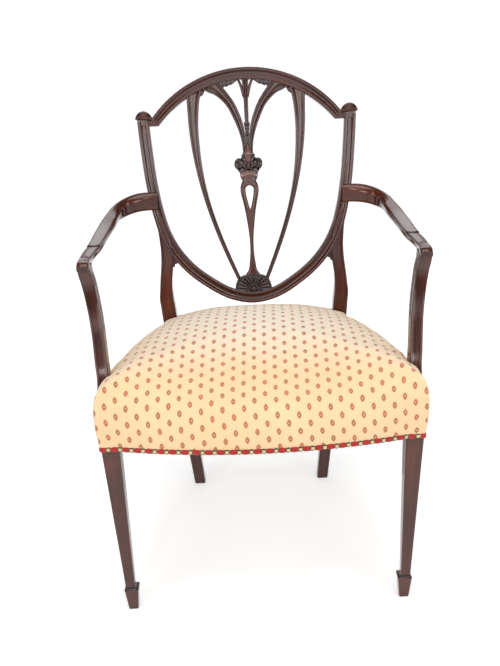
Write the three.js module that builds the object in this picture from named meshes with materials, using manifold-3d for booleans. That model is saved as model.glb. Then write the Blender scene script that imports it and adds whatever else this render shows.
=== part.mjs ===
// Shield back elbow chair with a stuffed-over seat, in millimetres, +Z up.
// X runs across the chair, Y from front to back. Left and right are as seen from the front.
import * as THREE from 'three';
import { mergeVertices } from 'three/addons/utils/BufferGeometryUtils.js';
import Module from 'manifold-3d';

const wasm = await Module();
wasm.setup();

// Fits shared by every joint
const clearance = 0.3;
const cutOverrun = 2;

// Seat frame: the height that the back, the arms and the upholstery follow
const railBottom = 352;
const railHeight = 65;
const railThickness = 25;
const railTop = railBottom + railHeight;
const railMiddle = railBottom + railHeight / 2;

// Shield back: its lowest front point, lean, plan bow and the member that runs round it
const shieldFootDepth = 215;
const shieldFootRise = 52;
const shieldFootHeight = railTop + shieldFootRise;
const shieldRakeDegrees = 10.45;
const shieldPlanRadius = 2300;
const shieldHeight = 506;
const shieldHalfSpan = 222;
const memberWidth = 24;
const memberDepth = 25;
const memberBackRound = 3;
const roundSteps = 54;
const beadWidth = 5.5;
const beadHeight = 2.6;
const hollowDepth = 3.4;
const shieldSideShares = [
  [0.189, 0.0385], [0.439, 0.0988], [0.641, 0.174], [0.769, 0.249],
  [0.85, 0.324], [0.899, 0.401], [0.946, 0.516], [0.981, 0.6715], [1, 0.79],
];

// Crest rail: an arch between two domed ears
const crestEndInset = 25;
const crestEndRise = 6.5;
const crestCentreWidth = 25;
const crestEndWidth = 20;
const crestSteps = 14;
const earBottomShare = 0.7725;
const earInnerReach = 32;
const earOuterReach = 14.5;
const earDomeWidth = 36;
const earDomeRise = 20;
const earBodyRise = 13;
const earDomeTurn = Math.PI * 0.85;
const earDomeSteps = 8;
const plateBevel = 1.4;

// Bow of the shield and how it is tenoned into the back legs
const bowJointSpanShare = 0.775;
const bowJointShare = 0.251;
const bowJointSpan = bowJointSpanShare * shieldHalfSpan;
const bowJointDegrees = 58;
const bowTenonLength = 14;
const bowTenonWidth = 12;
const tenonThickness = 9;
const earTenonWidth = 15;

// Ribs and splat
const ribFront = -2.5;
const ribDepth = 15.5;
const ribChamferShare = 0.28;
const ribChamferSlope = 0.6;
const outerRibSpan = 115;
const outerRibWidth = 24;
const outerRibTopShare = 0.955;
const outerRibTopDrop = 4.6;
const outerRibShares = [
  [0.996, 0.83, 0.917], [1, 0.771, 0.854], [0.976, 0.672, 0.73], [0.907, 0.553, 0.555],
  [0.791, 0.435, 0.44], [0.63, 0.316, 0.4], [0.435, 0.198, 0.375], [0.262, 0.103, 0.34],
];
const outerRibSteps = 20;
const innerRibSpan = 66;
const innerRibWidth = 20;
const innerRibShares = [
  [0.091, 0.64, 0.42], [0.118, 0.692, 0.45], [0.174, 0.731, 0.53], [0.262, 0.771, 0.66], [0.379, 0.81, 0.72],
  [0.524, 0.85, 0.79], [0.717, 0.889, 0.9], [0.97, 0.927, 1.1],
];
const innerRibSteps = 14;
const centreRibWidth = 12;
const centreRibShares = [
  [0, 0.65, 0.9], [0, 0.695, 0.8], [0, 0.731, 0.62], [0, 0.771, 0.58],
  [0, 0.83, 0.7], [0, 0.889, 0.95], [0, 0.905, 1.2], [0, 0.945, 2.1],
];
const centreRibSteps = 10;
const vaseHalfWidth = 20;
const vaseShares = [
  [0.85, 0.112], [0.8, 0.1225], [0.5, 0.142], [0.33, 0.178], [0.21, 0.225], [0.2, 0.252],
  [0.25, 0.296], [0.36, 0.336], [0.56, 0.395], [0.8, 0.445], [0.96, 0.474], [1, 0.494],
  [0.92, 0.512], [0.72, 0.53], [0.7, 0.5385], [0.93, 0.543], [0.98, 0.557], [1.03, 0.569], [0.95, 0.59],
];
const vaseSteps = 32;
const loopHalfWidth = 8.7;
const loopShares = [[0, 0.407], [0.2, 0.416], [0.5, 0.437], [0.78, 0.458], [0.97, 0.482], [0.9, 0.5], [0, 0.509]];
const loopSteps = 12;
const lobeRadius = 13;
const lobeSpan = 17.5;
const lobeShare = 0.597;
const lobeForward = 3;
const leafHalfWidth = 15;
const leafRise = 12;
const leafShare = 0.622;
const budHalfWidth = 7.5;
const budRise = 16;
const budShare = 0.652;
const carvedFacets = 9;

// Lunette at the foot of the splat
const lunetteHalfWidth = 41;
const lunetteRise = 43;
const lunetteFootShare = 0.04;
const lunetteFront = -0.6;
const lunetteDepth = 19;
const lunettePower = 3;
const lunetteSteps = 12;

// Drapery and brackets carved under the crest
// Each row: across, then drop below the middle of the crest
const drapeShares = [
  [0.14, 0.404], [0.76, 0.207], [0.76, 0.693], [0.64, 0.844], [0.5, 0.728], [0.33, 0.686], [0.2, 0.802],
];
const drapeFront = -5;
const drapeDepth = 9;
const bracketRadius = 6;
const bracketInset = 26;
const bracketDropShare = 0.716;

// Back legs: straight and raking below the seat, swept above it
const stileInset = 30;
const stileHalfSpan = shieldHalfSpan - stileInset;
const backLegSplay = 42.7;
const backFootHalfSpan = stileHalfSpan - backLegSplay;
const backFootSetback = 34;
const backFootDepth = shieldFootDepth + backFootSetback;
const backLegRakeShare = 0.103;
const backLegKneeSoftness = 5;
const straightSteps = 6;
const backLegWidth = 33;
const backFootWidthShare = 0.775;
const backLegThickness = 33;
const backFootThicknessShare = 0.82;
const stileSetback = 3.5;
const stileShares = [
  [0, 1, 0.955], [0.04, 1.01, 0.925], [0.079, 1.008, 0.83], [0.119, 1.001, 0.8], [0.158, 0.988, 0.81],
  [0.198, 0.98, 0.79], [0.237, 0.978, 0.77], [0.277, 0.986, 0.74], [0.316, 0.998, 0.7], [0.356, 1.017, 0.66],
  [0.395, 1.037, 0.62],
];
const legEdgeRound = 2.5;

// Front legs: square, tapered, on spade feet
const frontLegHalfSpan = 271;
const frontLegFront = -232;
const frontLegWidth = 33;
const ankleDrawIn = 8.5;
const ankleSetback = 9.5;
const ankleHalfSpan = frontLegHalfSpan - ankleDrawIn;
const ankleFront = frontLegFront + ankleSetback;
const ankleWidth = 18;
const ankleHeight = 53;
const spadeHeight = 48;
const spadeWidth = 26;
const footWidth = 18;
const footDrawIn = 10.5;
const footSetback = 21.5;
const footHalfSpan = frontLegHalfSpan - footDrawIn;
const footDepth = frontLegFront + footSetback;

// Rails and blocks of the seat frame
const frontRailBulge = 31;
const sideRailBulge = 12;
const railSteps = 8;
const seatTenonLength = 16;
const seatTenonHeight = 44;
const backTenonLength = 9.5;
const seatTenonInset = 8;
const sideTenonInset = 12;
const backRailInset = 1;
const backRailFront = shieldFootDepth - backRailInset;
const blockHeight = 30;
const blockInset = 3;
const frontBlockReach = 118;
const backBlockReach = 78;

// Arms and their supports
const armRise = 246;
const armHeight = railTop + armRise;
const armRearRise = 57;
const armOverhang = 45;
const armSpan = frontLegHalfSpan + armOverhang;
const armFrontSetback = 110.5;
const armFrontDepth = frontLegFront + armFrontSetback;
const armRearSetback = 41;
const armRearDepth = shieldFootDepth + armRearSetback;
const armThickness = 37;
const armEdgeRound = 3.5;
// Each row: outer edge across (0 shield, 1 full span), along, rise; inner edge the same; thickness
const armShares = [
  [1.0143, 0, -0.105, 0.8096, 0, -0.105, 0.28],
  [1.0172, 0.0066, -0.035, 0.8096, 0.0066, -0.035, 0.39],
  [1.0272, 0.033, 0, 0.814, 0.033, 0, 0.46],
  [1.0429, 0.102, 0.0175, 0.834, 0.102, 0.0175, 0.47],
  [1.0429, 0.155, 0.035, 0.834, 0.155, 0.035, 0.455],
  [1.0272, 0.24, 0.07, 0.8096, 0.24, 0.07, 0.44],
  [1, 0.311, 0.105, 0.7653, 0.311, 0.105, 0.425],
  [0.9914, 0.364, 0.14, 0.7453, 0.364, 0.14, 0.41],
  [0.9828, 0.4914, 0.228, 0.7138, 0.4914, 0.228, 0.41],
  [0.9628, 0.6265, 0.35, 0.6652, 0.6265, 0.35, 0.49],
  [0.9285, 0.719, 0.49, 0.6423, 0.711, 0.474, 0.66],
  [0.8827, 0.796, 0.6, 0.6469, 0.775, 0.561, 0.8],
  [0.7997, 0.862, 0.735, 0.6366, 0.838, 0.667, 0.88],
  [0.6909, 0.9126, 0.83, 0.5736, 0.878, 0.737, 0.92],
  [0.5478, 0.96, 0.925, 0.4837, 0.907, 0.79, 0.94],
  [0.3617, 0.9894, 1.02, 0.3303, 0.939, 0.86, 0.96],
  [0.1486, 1, 1.03, 0.1486, 0.947, 0.886, 0.97],
  [-0.0503, 0.995, 0.95, -0.0503, 0.968, 0.9, 0.97],
];
const supportWidth = 24;
const supportDepth = 34;
const supportFootSetback = 60;
const supportFootDepth = frontLegFront + supportFootSetback;
const supportFootReach = 15;
const supportFootSpan = frontLegHalfSpan + supportFootReach;
const supportTopInset = 9.8;
const supportTopSpan = armSpan - supportTopInset;
const supportTopDrop = 9;
const supportTop = armHeight - supportTopDrop;
// Each row: rise from the rail's lower edge, across (0 rail, 1 arm), forward lean, width, depth
const supportShares = [
  [0, -0.001, 1, 0.88, 1], [0.161, 0.015, 1, 0.88, 1], [0.262, -0.048, 0.94, 0.9, 1],
  [0.332, -0.126, 0.86, 0.92, 0.97], [0.43, -0.001, 0.65, 0.92, 0.94], [0.597, 0.155, 0.34, 0.92, 0.92],
  [0.8, 0.531, 0, 0.95, 0.93], [0.9, 0.766, -0.06, 0.97, 0.97], [0.96, 0.945, -0.03, 0.95, 1.04],
  [1, 1, -0.02, 0.91, 1.15],
];
const armTenonRise = 11;
const armTenonDrop = 15;
const armTenonWidth = 11;
const armTenonDepth = 16;

// Seat webbing, hessian, stuffing, cover and braid
const webbingWidth = 50;
const webbingThickness = 1.2;
const webbingCount = 4;
const webbingLap = 16;
const webbingPitch = 95;
const webbingMiddle = -5;
const hessianThickness = 1;
const hessianInset = 6;
const coverThickness = 1.6;
const coverOverlap = 2;
const coverBottom = railBottom - coverOverlap;
const frontCornerRise = 59;
const frontMiddleRise = 56;
const backCornerRise = 32;
const backMiddleRise = 44;
const sideSwell = 10;
const seatCrownRise = 82;
const seatCrownHeight = railTop + seatCrownRise;
const seatCentreDepth = 50;
const seatBackSetback = 25;
const seatBackDepth = shieldFootDepth + seatBackSetback;
const seatBackInset = 4;
const seatBackHalfWidth = stileHalfSpan - seatBackInset;
const coverCornerRadius = 4;
const sideReach = 9;
const sideRoll = 34;
const frontReach = 2.4;
const frontRoll = 84;
// Each row: rise of the cover's edge, then how far it lies out (+, share of reach) or in (-, share of roll)
const sideRollShares = [
  [0, 0.27], [0.183, 0.67], [0.4, 1], [0.583, 1], [0.733, 0.8], [0.85, 0.25], [0.933, -0.25], [1, -1],
];
const frontRollShares = [
  [0, 1], [0.183, 0.9], [0.4, -0.018], [0.583, -0.125], [0.733, -0.27], [0.85, -0.475], [0.933, -0.69], [1, -1],
];
const crownSteps = 3;
const crownPower = 2.3;
const crownCentreGap = 0.6;
const cornerPower = 4;
const sideSteps = 6;
const frontSteps = 12;
const backSteps = 5;
const braidHeight = 10;
const braidThickness = 2.2;
const braidDrop = 3.5;
const braidBottom = coverBottom - braidDrop;

// Screws
const screwHeadRadius = 4.2;
const screwShankRadius = 2.1;
const screwFacets = 8;
const frontBlockScrewLength = 45;
const backBlockScrewLength = 32;
const blockScrewRise = 15;
const blockScrewShare = 0.27;
const frontScrewShiftShare = 0.6;
const supportScrewLength = 26;
const supportScrewRises = [42, 56];
const armScrewLength = 31;
const armScrewOutset = 8.4;

const polish = { color: 0x4a2620, roughness: 0.32, metalness: 0 };
const oldBeech = { color: 0xa9855a, roughness: 0.75, metalness: 0 };
const steel = { color: 0x8f8c86, roughness: 0.45, metalness: 0.9 };
const jute = { color: 0xb79a68, roughness: 0.95, metalness: 0 };
const hair = { color: 0x6b5a45, roughness: 1, metalness: 0 };
const fabric = { color: 0xf0dcae, roughness: 0.9, metalness: 0 };
const braidRed = { color: 0xc22a2a, roughness: 0.85, metalness: 0 };

const rake = THREE.MathUtils.degToRad(shieldRakeDegrees);
const shieldUp = new THREE.Vector3(0, Math.sin(rake), Math.cos(rake));
const shieldFront = new THREE.Vector3(0, -Math.cos(rake), Math.sin(rake));

// Places a point given across, up and forward of the shield, whose plan is slightly bowed
function shieldPoint(across, up, forward) {
  const bow = (across * across) / (2 * shieldPlanRadius);
  return new THREE.Vector3(across, shieldFootDepth, shieldFootHeight)
    .addScaledVector(shieldUp, up)
    .addScaledVector(shieldFront, forward + bow);
}

function solidOf(geometry) {
  const bare = geometry.clone();
  bare.deleteAttribute('normal');
  bare.deleteAttribute('uv');
  const merged = mergeVertices(bare, 1e-4);
  const mesh = new wasm.Mesh({
    numProp: 3,
    vertProperties: new Float32Array(merged.attributes.position.array),
    triVerts: new Uint32Array(merged.index.array),
  });
  return new wasm.Manifold(mesh);
}

function geometryOf(solid) {
  const mesh = solid.getMesh();
  const geometry = new THREE.BufferGeometry();
  geometry.setAttribute('position', new THREE.BufferAttribute(new Float32Array(mesh.vertProperties), 3));
  geometry.setIndex(new THREE.BufferAttribute(new Uint32Array(mesh.triVerts), 1));
  return geometry;
}

function joined(solids) {
  return solids.reduce((whole, solid) => whole.add(solid));
}

function cutBy(solid, tools) {
  return tools.reduce((rest, tool) => rest.subtract(tool), solid);
}

// Moves both end rings on, so that a grown body is longer than the one it is cut for
function lengthened(rings, grow) {
  const middles = rings.map((ring) => (
    ring.reduce((sum, point) => sum.add(point), new THREE.Vector3()).divideScalar(ring.length)
  ));
  const moved = (end, next) => {
    const step = middles[end].clone().sub(middles[next]).setLength(grow);
    return rings[end].map((point) => point.clone().add(step));
  };
  const last = rings.length - 1;
  return [moved(0, 1), ...rings.slice(1, last), moved(last, last - 1)];
}

// Skins a row of rings that have equally many points and closes both ends
function loft(rings) {
  const count = rings[0].length;
  const points = rings.flat();
  const ends = [rings[0], rings[rings.length - 1]].map((ring) => {
    const middle = ring.reduce((sum, point) => sum.add(point), new THREE.Vector3());
    return points.push(middle.divideScalar(count)) - 1;
  });
  const faces = [];
  for (let row = 0; row < rings.length - 1; row += 1) {
    for (let column = 0; column < count; column += 1) {
      const next = (column + 1) % count;
      const [a, b] = [row * count + column, row * count + next];
      faces.push(a, b, b + count, a, b + count, a + count);
    }
  }
  const last = (rings.length - 1) * count;
  for (let column = 0; column < count; column += 1) {
    const next = (column + 1) % count;
    faces.push(ends[0], next, column);
    faces.push(ends[1], last + column, last + next);
  }
  return outwardSolid(points, faces);
}

// Makes a solid whose faces point out, whichever way its rings ran
function outwardSolid(points, faces) {
  let volume = 0;
  for (let i = 0; i < faces.length; i += 3) {
    const [a, b, c] = [points[faces[i]], points[faces[i + 1]], points[faces[i + 2]]];
    volume += a.dot(new THREE.Vector3().crossVectors(b, c));
  }
  const turned = volume < 0 ? faces.slice().reverse() : faces;
  const geometry = new THREE.BufferGeometry().setFromPoints(points);
  geometry.setIndex(turned);
  return solidOf(geometry);
}

// A rectangle with rounded corners, centred, three points to a corner
function roundedRectangle(width, depth, round) {
  const points = [];
  for (let corner = 0; corner < 4; corner += 1) {
    const [sideways, along] = [[1, 1], [-1, 1], [-1, -1], [1, -1]][corner];
    for (let step = 0; step < 3; step += 1) {
      const turn = (corner + step / 2) * (Math.PI / 2);
      points.push(new THREE.Vector2(
        sideways * (width / 2 - round) + round * Math.cos(turn),
        along * (depth / 2 - round) + round * Math.sin(turn),
      ));
    }
  }
  return points;
}

// Section of the shield member: two beads with a hollow between them, seen from its back round
function mouldedSection(width, grow) {
  const half = width / 2 + grow;
  const back = -memberDepth - grow;
  const inner = half - beadWidth;
  const front = grow;
  const oneSide = [
    [half - memberBackRound, back], [half, back + memberBackRound], [half, front - beadHeight],
    [half - beadWidth / 5, front - beadHeight / 4], [half - beadWidth / 2, front],
    [inner + beadWidth / 5, front - beadHeight / 4], [inner, front - beadHeight],
    [inner / 2, front - hollowDepth],
  ];
  const otherSide = oneSide.slice().reverse().map(([sideways, forward]) => [-sideways, forward]);
  return [...oneSide, ...otherSide].map(([sideways, forward]) => new THREE.Vector2(sideways, forward));
}

// Section of a rib: flat back and a raised face between two broad chamfers
function ribSection(width, grow) {
  const half = width / 2 + grow;
  const flat = half * (1 - 2 * ribChamferShare);
  const front = ribFront + grow;
  const shoulder = front - width * ribChamferShare * ribChamferSlope;
  const back = ribFront - ribDepth - grow;
  return [[half, back], [half, shoulder], [flat, front], [-flat, front], [-half, shoulder], [-half, back]]
    .map(([sideways, forward]) => new THREE.Vector2(sideways, forward));
}

// Carries a section along stations of (across, up, width) in the plane of the shield
function shieldSweep(curve, steps, section, grow = 0) {
  const rings = [];
  for (let step = 0; step <= steps; step += 1) {
    const station = curve.getPointAt(step / steps);
    const ahead = curve.getTangentAt(step / steps);
    const side = new THREE.Vector2(-ahead.y, ahead.x).normalize();
    rings.push(section(station.z, grow).map((point) => shieldPoint(
      station.x + side.x * point.x,
      station.y + side.y * point.x,
      point.y,
    )));
  }
  return loft(rings);
}

// Turns rows of shares into stations of (across, up, width)
function stationsOf(shares, span, width, side) {
  return shares.map(([across, up, wide]) => new THREE.Vector3(side * across * span, up * shieldHeight, wide * width));
}

function smoothThrough(points) {
  return new THREE.CatmullRomCurve3(points, false, 'chordal');
}

// A plate sawn to an outline in the plane of the shield, its front edges eased
function shieldPlate(shape, front, depth, grow = 0) {
  const geometry = new THREE.ExtrudeGeometry(shape, {
    depth: depth - 2 * plateBevel + 2 * grow,
    bevelEnabled: true,
    bevelThickness: plateBevel,
    bevelSize: plateBevel,
    bevelOffset: grow - plateBevel,
    bevelSegments: 1,
  });
  return onShield(geometry, front - depth + plateBevel - grow);
}

// Maps a geometry drawn flat (across, up, forward) on to the bowed and leaning shield
function onShield(geometry, forward) {
  const place = geometry.attributes.position;
  for (let i = 0; i < place.count; i += 1) {
    const point = shieldPoint(place.getX(i), place.getY(i), place.getZ(i) + forward);
    place.setXYZ(i, point.x, point.y, point.z);
  }
  return solidOf(geometry);
}

// A block given by its limits across, up and forward of the shield
function shieldBlock(across, up, forward, grow = 0) {
  const size = [across, up, forward].map(([low, high]) => high - low + 2 * grow);
  const geometry = new THREE.BoxGeometry(...size);
  geometry.translate((across[0] + across[1]) / 2, (up[0] + up[1]) / 2, 0);
  return onShield(geometry, (forward[0] + forward[1]) / 2);
}

// An upright block given by its limits in X, Y and Z
function block(xLimits, yLimits, zLimits, grow = 0) {
  const limits = [xLimits, yLimits, zLimits];
  const geometry = new THREE.BoxGeometry(...limits.map(([low, high]) => high - low + 2 * grow));
  geometry.translate(...limits.map(([low, high]) => (low + high) / 2));
  return solidOf(geometry);
}

function shieldEllipsoid(across, up, forward, radii) {
  const geometry = new THREE.SphereGeometry(1, carvedFacets, carvedFacets - 2);
  geometry.scale(...radii);
  geometry.translate(across, up, 0);
  return onShield(geometry, forward);
}

// Outline drawn through points of one side and mirrored about the middle
function mirroredShape(points) {
  const other = points.slice().reverse().map((point) => new THREE.Vector2(-point.x, point.y));
  return new THREE.Shape([...points, ...other]);
}

function outlineOf(shares, width, steps) {
  const points = shares.map(([across, up]) => new THREE.Vector2(across * width, up * shieldHeight));
  return new THREE.SplineCurve(points).getPoints(steps);
}

// Whole shield member from ear to ear, from which the bow and both sides are cut
function shieldRound(grow = 0) {
  const right = shieldSideShares.map(([across, up]) => [across, up, 1]);
  const left = right.slice().reverse().map(([across, up]) => [-across, up, 1]);
  const lowest = [0, memberWidth / 2 / shieldHeight, 1];
  const path = smoothThrough(stationsOf([...left, lowest, ...right], shieldHalfSpan, memberWidth, 1));
  return shieldSweep(path, roundSteps, mouldedSection, grow);
}

// Outer rib: runs from inside the crest down to the lunette
function outerRib(side, grow = 0) {
  const topSpan = outerRibTopShare * outerRibSpan;
  const top = new THREE.Vector3(side * topSpan, crestUpAt(topSpan) - outerRibTopDrop, outerRibWidth);
  const stations = [top, ...stationsOf(outerRibShares, outerRibSpan, outerRibWidth, side)];
  return shieldSweep(smoothThrough(stations), outerRibSteps, ribSection, grow);
}

function innerRib(side, grow = 0) {
  const stations = stationsOf(innerRibShares, innerRibSpan, innerRibWidth, side);
  return shieldSweep(smoothThrough(stations), innerRibSteps, ribSection, grow);
}

function centreRib(grow = 0) {
  const stations = stationsOf(centreRibShares, innerRibSpan, centreRibWidth, 1);
  return shieldSweep(smoothThrough(stations), centreRibSteps, ribSection, grow);
}

function vase(grow = 0) {
  const shape = mirroredShape(outlineOf(vaseShares, vaseHalfWidth, vaseSteps));
  const loop = outlineOf(loopShares, loopHalfWidth, loopSteps);
  const otherHalf = loop.slice(1, -1).reverse().map((point) => new THREE.Vector2(-point.x, point.y));
  if (grow === 0) shape.holes.push(new THREE.Path([...loop, ...otherHalf]));
  return shieldPlate(shape, ribFront, ribDepth, grow);
}

function carvedUrn() {
  const lobeUp = lobeShare * shieldHeight;
  const middle = ribFront - ribDepth / 2 + lobeForward;
  const radii = [lobeRadius, lobeRadius, ribDepth / 2 + lobeForward];
  return joined([
    shieldEllipsoid(-lobeSpan, lobeUp, middle, radii),
    shieldEllipsoid(lobeSpan, lobeUp, middle, radii),
    shieldEllipsoid(0, lobeUp, middle, radii),
    shieldEllipsoid(0, leafShare * shieldHeight, middle, [leafHalfWidth, leafRise, radii[2]]),
    shieldEllipsoid(0, budShare * shieldHeight, middle, [budHalfWidth, budRise, radii[2]]),
  ]);
}

function splatRibs(grow = 0) {
  return joined([innerRib(-1, grow), innerRib(1, grow), centreRib(grow)]);
}

// Half-round block at the foot of the splat, its outline a superellipse
function lunette(grow = 0) {
  const points = [];
  const power = 2 / lunettePower;
  for (let step = 0; step < lunetteSteps; step += 1) {
    const turn = (step / lunetteSteps) * (Math.PI / 2);
    points.push(new THREE.Vector2(
      lunetteHalfWidth * Math.cos(turn) ** power,
      lunetteFootShare * shieldHeight + lunetteRise * Math.sin(turn) ** power,
    ));
  }
  return shieldPlate(mirroredShape(points), lunetteFront, lunetteDepth, grow);
}

// The crest's middle line is an arc from ear to ear
const crestTopUp = shieldHeight - crestCentreWidth / 2;
const crestEndSpan = shieldHalfSpan - crestEndInset;
const crestDrop = crestTopUp - earBottomShare * shieldHeight - crestEndRise;
const crestRadius = (crestEndSpan ** 2 + crestDrop ** 2) / (2 * crestDrop);

function crestUpAt(across) {
  return crestTopUp - crestRadius + Math.sqrt(crestRadius ** 2 - across ** 2);
}

function crestArch() {
  const endTurn = Math.asin(crestEndSpan / crestRadius);
  const stations = [];
  for (let step = -crestSteps; step <= crestSteps; step += 1) {
    const share = step / crestSteps;
    const turn = share * endTurn;
    const width = THREE.MathUtils.lerp(crestCentreWidth, crestEndWidth, share ** 2);
    const across = crestRadius * Math.sin(turn);
    stations.push(new THREE.Vector3(across, crestUpAt(across), width));
  }
  return shieldSweep(smoothThrough(stations), 2 * crestSteps, mouldedSection);
}

// Ear over the top of a back leg: a squared body under a low dome
function ear(side) {
  const bottom = earBottomShare * shieldHeight;
  const outer = shieldHalfSpan + earOuterReach;
  const shape = new THREE.Shape();
  shape.moveTo(side * (shieldHalfSpan - earInnerReach), bottom);
  shape.lineTo(side * outer, bottom);
  for (let step = 0; step <= earDomeSteps; step += 1) {
    const turn = (step / earDomeSteps) * earDomeTurn;
    shape.lineTo(
      side * (outer - earDomeWidth / 2 + (earDomeWidth / 2) * Math.cos(turn)),
      bottom + earBodyRise + earDomeRise * Math.sin(turn),
    );
  }
  shape.lineTo(side * (shieldHalfSpan - earInnerReach + crestEndWidth / 2), bottom + earBodyRise);
  return shieldPlate(shape, 0, memberDepth);
}

function drapery(side) {
  const points = drapeShares.map(([share, drop]) => {
    const across = share * innerRibSpan;
    return new THREE.Vector2(side * across, crestUpAt(across) - drop * crestCentreWidth);
  });
  return shieldPlate(new THREE.Shape(points), drapeFront, drapeDepth);
}

function crestBracket(side) {
  const middle = ribFront - ribDepth / 2;
  const across = outerRibSpan - bracketInset;
  const up = crestUpAt(across) - bracketDropShare * crestCentreWidth;
  return shieldEllipsoid(side * across, up, middle, [bracketRadius, bracketRadius, ribDepth / 2]);
}

// Tenon on top of a back leg, which enters the ear
function earTenon(side, grow = 0) {
  const bottom = earBottomShare * shieldHeight;
  const middle = side * shieldHalfSpan;
  return shieldBlock(
    [middle - earTenonWidth / 2, middle + earTenonWidth / 2],
    [bottom - seatTenonLength, bottom + seatTenonLength],
    [-memberDepth / 2 - tenonThickness / 2, -memberDepth / 2 + tenonThickness / 2],
    grow,
  );
}

// Tenon at each end of the bow, which runs on along the member into a back leg
function bowTenon(side, grow = 0) {
  const size = [2 * bowTenonLength, bowTenonWidth, tenonThickness].map((length) => length + 2 * grow);
  const geometry = new THREE.BoxGeometry(...size);
  geometry.rotateZ(side * THREE.MathUtils.degToRad(bowJointDegrees));
  geometry.translate(side * bowJointSpan, bowJointShare * shieldHeight, 0);
  return onShield(geometry, -memberDepth / 2);
}

// Front face of a back leg at a height: two straight lines that meet in a soft knee
function backLegFront(height, across) {
  const below = backFootDepth - backLegRakeShare * height;
  const bow = (across * across) / (2 * shieldPlanRadius);
  const above = shieldFootDepth - bow + stileSetback + (height - shieldFootHeight) * Math.tan(rake);
  return (below + above) / 2 + Math.hypot((below - above) / 2, backLegKneeSoftness);
}

// Sections of a back leg from the floor to where it merges with the shield
function backLegRings(side, grow) {
  const rows = [[-shieldFootHeight, backFootHalfSpan, backFootWidthShare, backFootThicknessShare]];
  for (let step = 1; step < straightSteps; step += 1) {
    const share = step / straightSteps;
    rows.push([
      -shieldFootHeight * (1 - share),
      THREE.MathUtils.lerp(backFootHalfSpan, stileHalfSpan, share),
      THREE.MathUtils.lerp(backFootWidthShare, 1, share),
      THREE.MathUtils.lerp(backFootThicknessShare, 1, share),
    ]);
  }
  for (const [up, across, wide] of stileShares) {
    rows.push([up * shieldHeight * Math.cos(rake), across * stileHalfSpan, wide, 1 - up]);
  }
  return rows.map(([rise, across, wide, thick]) => {
    const height = shieldFootHeight + rise;
    const width = backLegWidth * wide + 2 * grow;
    const thickness = backLegThickness * thick + 2 * grow;
    const front = backLegFront(height, across) - grow;
    return roundedRectangle(width, thickness, legEdgeRound)
      .map((point) => new THREE.Vector3(side * across + point.x, front + thickness / 2 + point.y, height));
  });
}

function backLegCore(side, grow = 0) {
  return loft(backLegRings(side, grow));
}

// Half of the round that belongs to one back leg: outside the bow joint and below the ear
function shieldSideOf(side, round) {
  const far = shieldHalfSpan + memberWidth + cutOverrun;
  const limits = [side * (bowJointSpan + clearance / 2), side * far].sort((a, b) => a - b);
  const top = earBottomShare * shieldHeight - clearance / 2;
  return round.intersect(shieldBlock(limits, [-cutOverrun, top], [-2 * memberDepth, memberDepth]));
}

// Half-span of the shield member's middle at a height up the shield
function shieldSpanAt(up) {
  const above = shieldSideShares.findIndex((row) => row[1] * shieldHeight > up);
  const [low, high] = [shieldSideShares[above - 1], shieldSideShares[above]];
  const share = (up / shieldHeight - low[1]) / (high[1] - low[1]);
  return THREE.MathUtils.lerp(low[0], high[0], share) * shieldHalfSpan;
}

const armJointUp = (armHeight + armRearRise - armThickness / 2 - shieldFootHeight) / Math.cos(rake);
const armJointSpan = shieldSpanAt(armJointUp);

// Arm: leaves the shield sideways and tall, turns forward, flattens and ends over its support
function armLoft(side, grow = 0) {
  const length = armRearDepth - armFrontDepth;
  const edgePoint = (across, along, rise) => new THREE.Vector3(
    side * THREE.MathUtils.lerp(armJointSpan, armSpan, across),
    armFrontDepth + along * length,
    armHeight + rise * armRearRise,
  );
  const rings = armShares.map((row) => {
    const outer = edgePoint(...row.slice(0, 3));
    const inner = edgePoint(...row.slice(3, 6));
    const thickness = row[6] * armThickness;
    const middle = outer.clone().add(inner).divideScalar(2);
    middle.z -= thickness / 2;
    const sideways = inner.clone().sub(outer);
    const width = sideways.length();
    sideways.normalize();
    return roundedRectangle(width + 2 * grow, thickness + 2 * grow, armEdgeRound).map((point) => (
      middle.clone().addScaledVector(sideways, point.x).add(new THREE.Vector3(0, 0, point.y))
    ));
  });
  return loft(lengthened(rings, grow));
}

// Support: stands against the side rail, leans back and runs up under the front of the arm
function supportLoft(side, grow = 0) {
  return loft(supportShares.map(([rise, across, forward, wide, deep]) => {
    const width = wide * supportWidth + 2 * grow;
    const depth = deep * supportDepth + 2 * grow;
    const front = armFrontDepth + forward * (supportFootDepth - armFrontDepth) - grow;
    const height = THREE.MathUtils.lerp(railBottom, supportTop, rise);
    const middle = THREE.MathUtils.lerp(supportFootSpan, supportTopSpan, across);
    return roundedRectangle(width, depth, armEdgeRound).map((point) => (
      new THREE.Vector3(side * middle + point.x, front + depth / 2 + point.y, height)
    ));
  }));
}

// Tenon that runs up from the support into the end of the arm
function armTenon(side, grow = 0) {
  const across = side * supportTopSpan;
  const shoulder = armHeight - armThickness * armShares[2][6];
  const depth = armFrontDepth + supportDepth / 2;
  return block(
    [across - armTenonWidth / 2, across + armTenonWidth / 2],
    [depth - armTenonDepth / 2, depth + armTenonDepth / 2],
    [shoulder - armTenonDrop, shoulder + armTenonRise],
    grow,
  );
}

// Square tapered front leg on a spade foot
function frontLeg(side, grow = 0) {
  const ankleMiddle = ankleFront + ankleWidth / 2;
  const topMiddle = frontLegFront + frontLegWidth / 2;
  const rows = [
    [0, footHalfSpan, footDepth, footWidth],
    [spadeHeight, footHalfSpan, ankleMiddle, spadeWidth],
    [ankleHeight, ankleHalfSpan, ankleMiddle, ankleWidth],
    [railBottom, frontLegHalfSpan, topMiddle, frontLegWidth],
    [railTop, frontLegHalfSpan, topMiddle, frontLegWidth],
  ];
  return loft(rows.map(([height, across, depth, width]) => (
    roundedRectangle(width + 2 * grow, width + 2 * grow, legEdgeRound / 2)
      .map((point) => new THREE.Vector3(side * across + point.x, depth + point.y, height))
  )));
}

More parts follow.
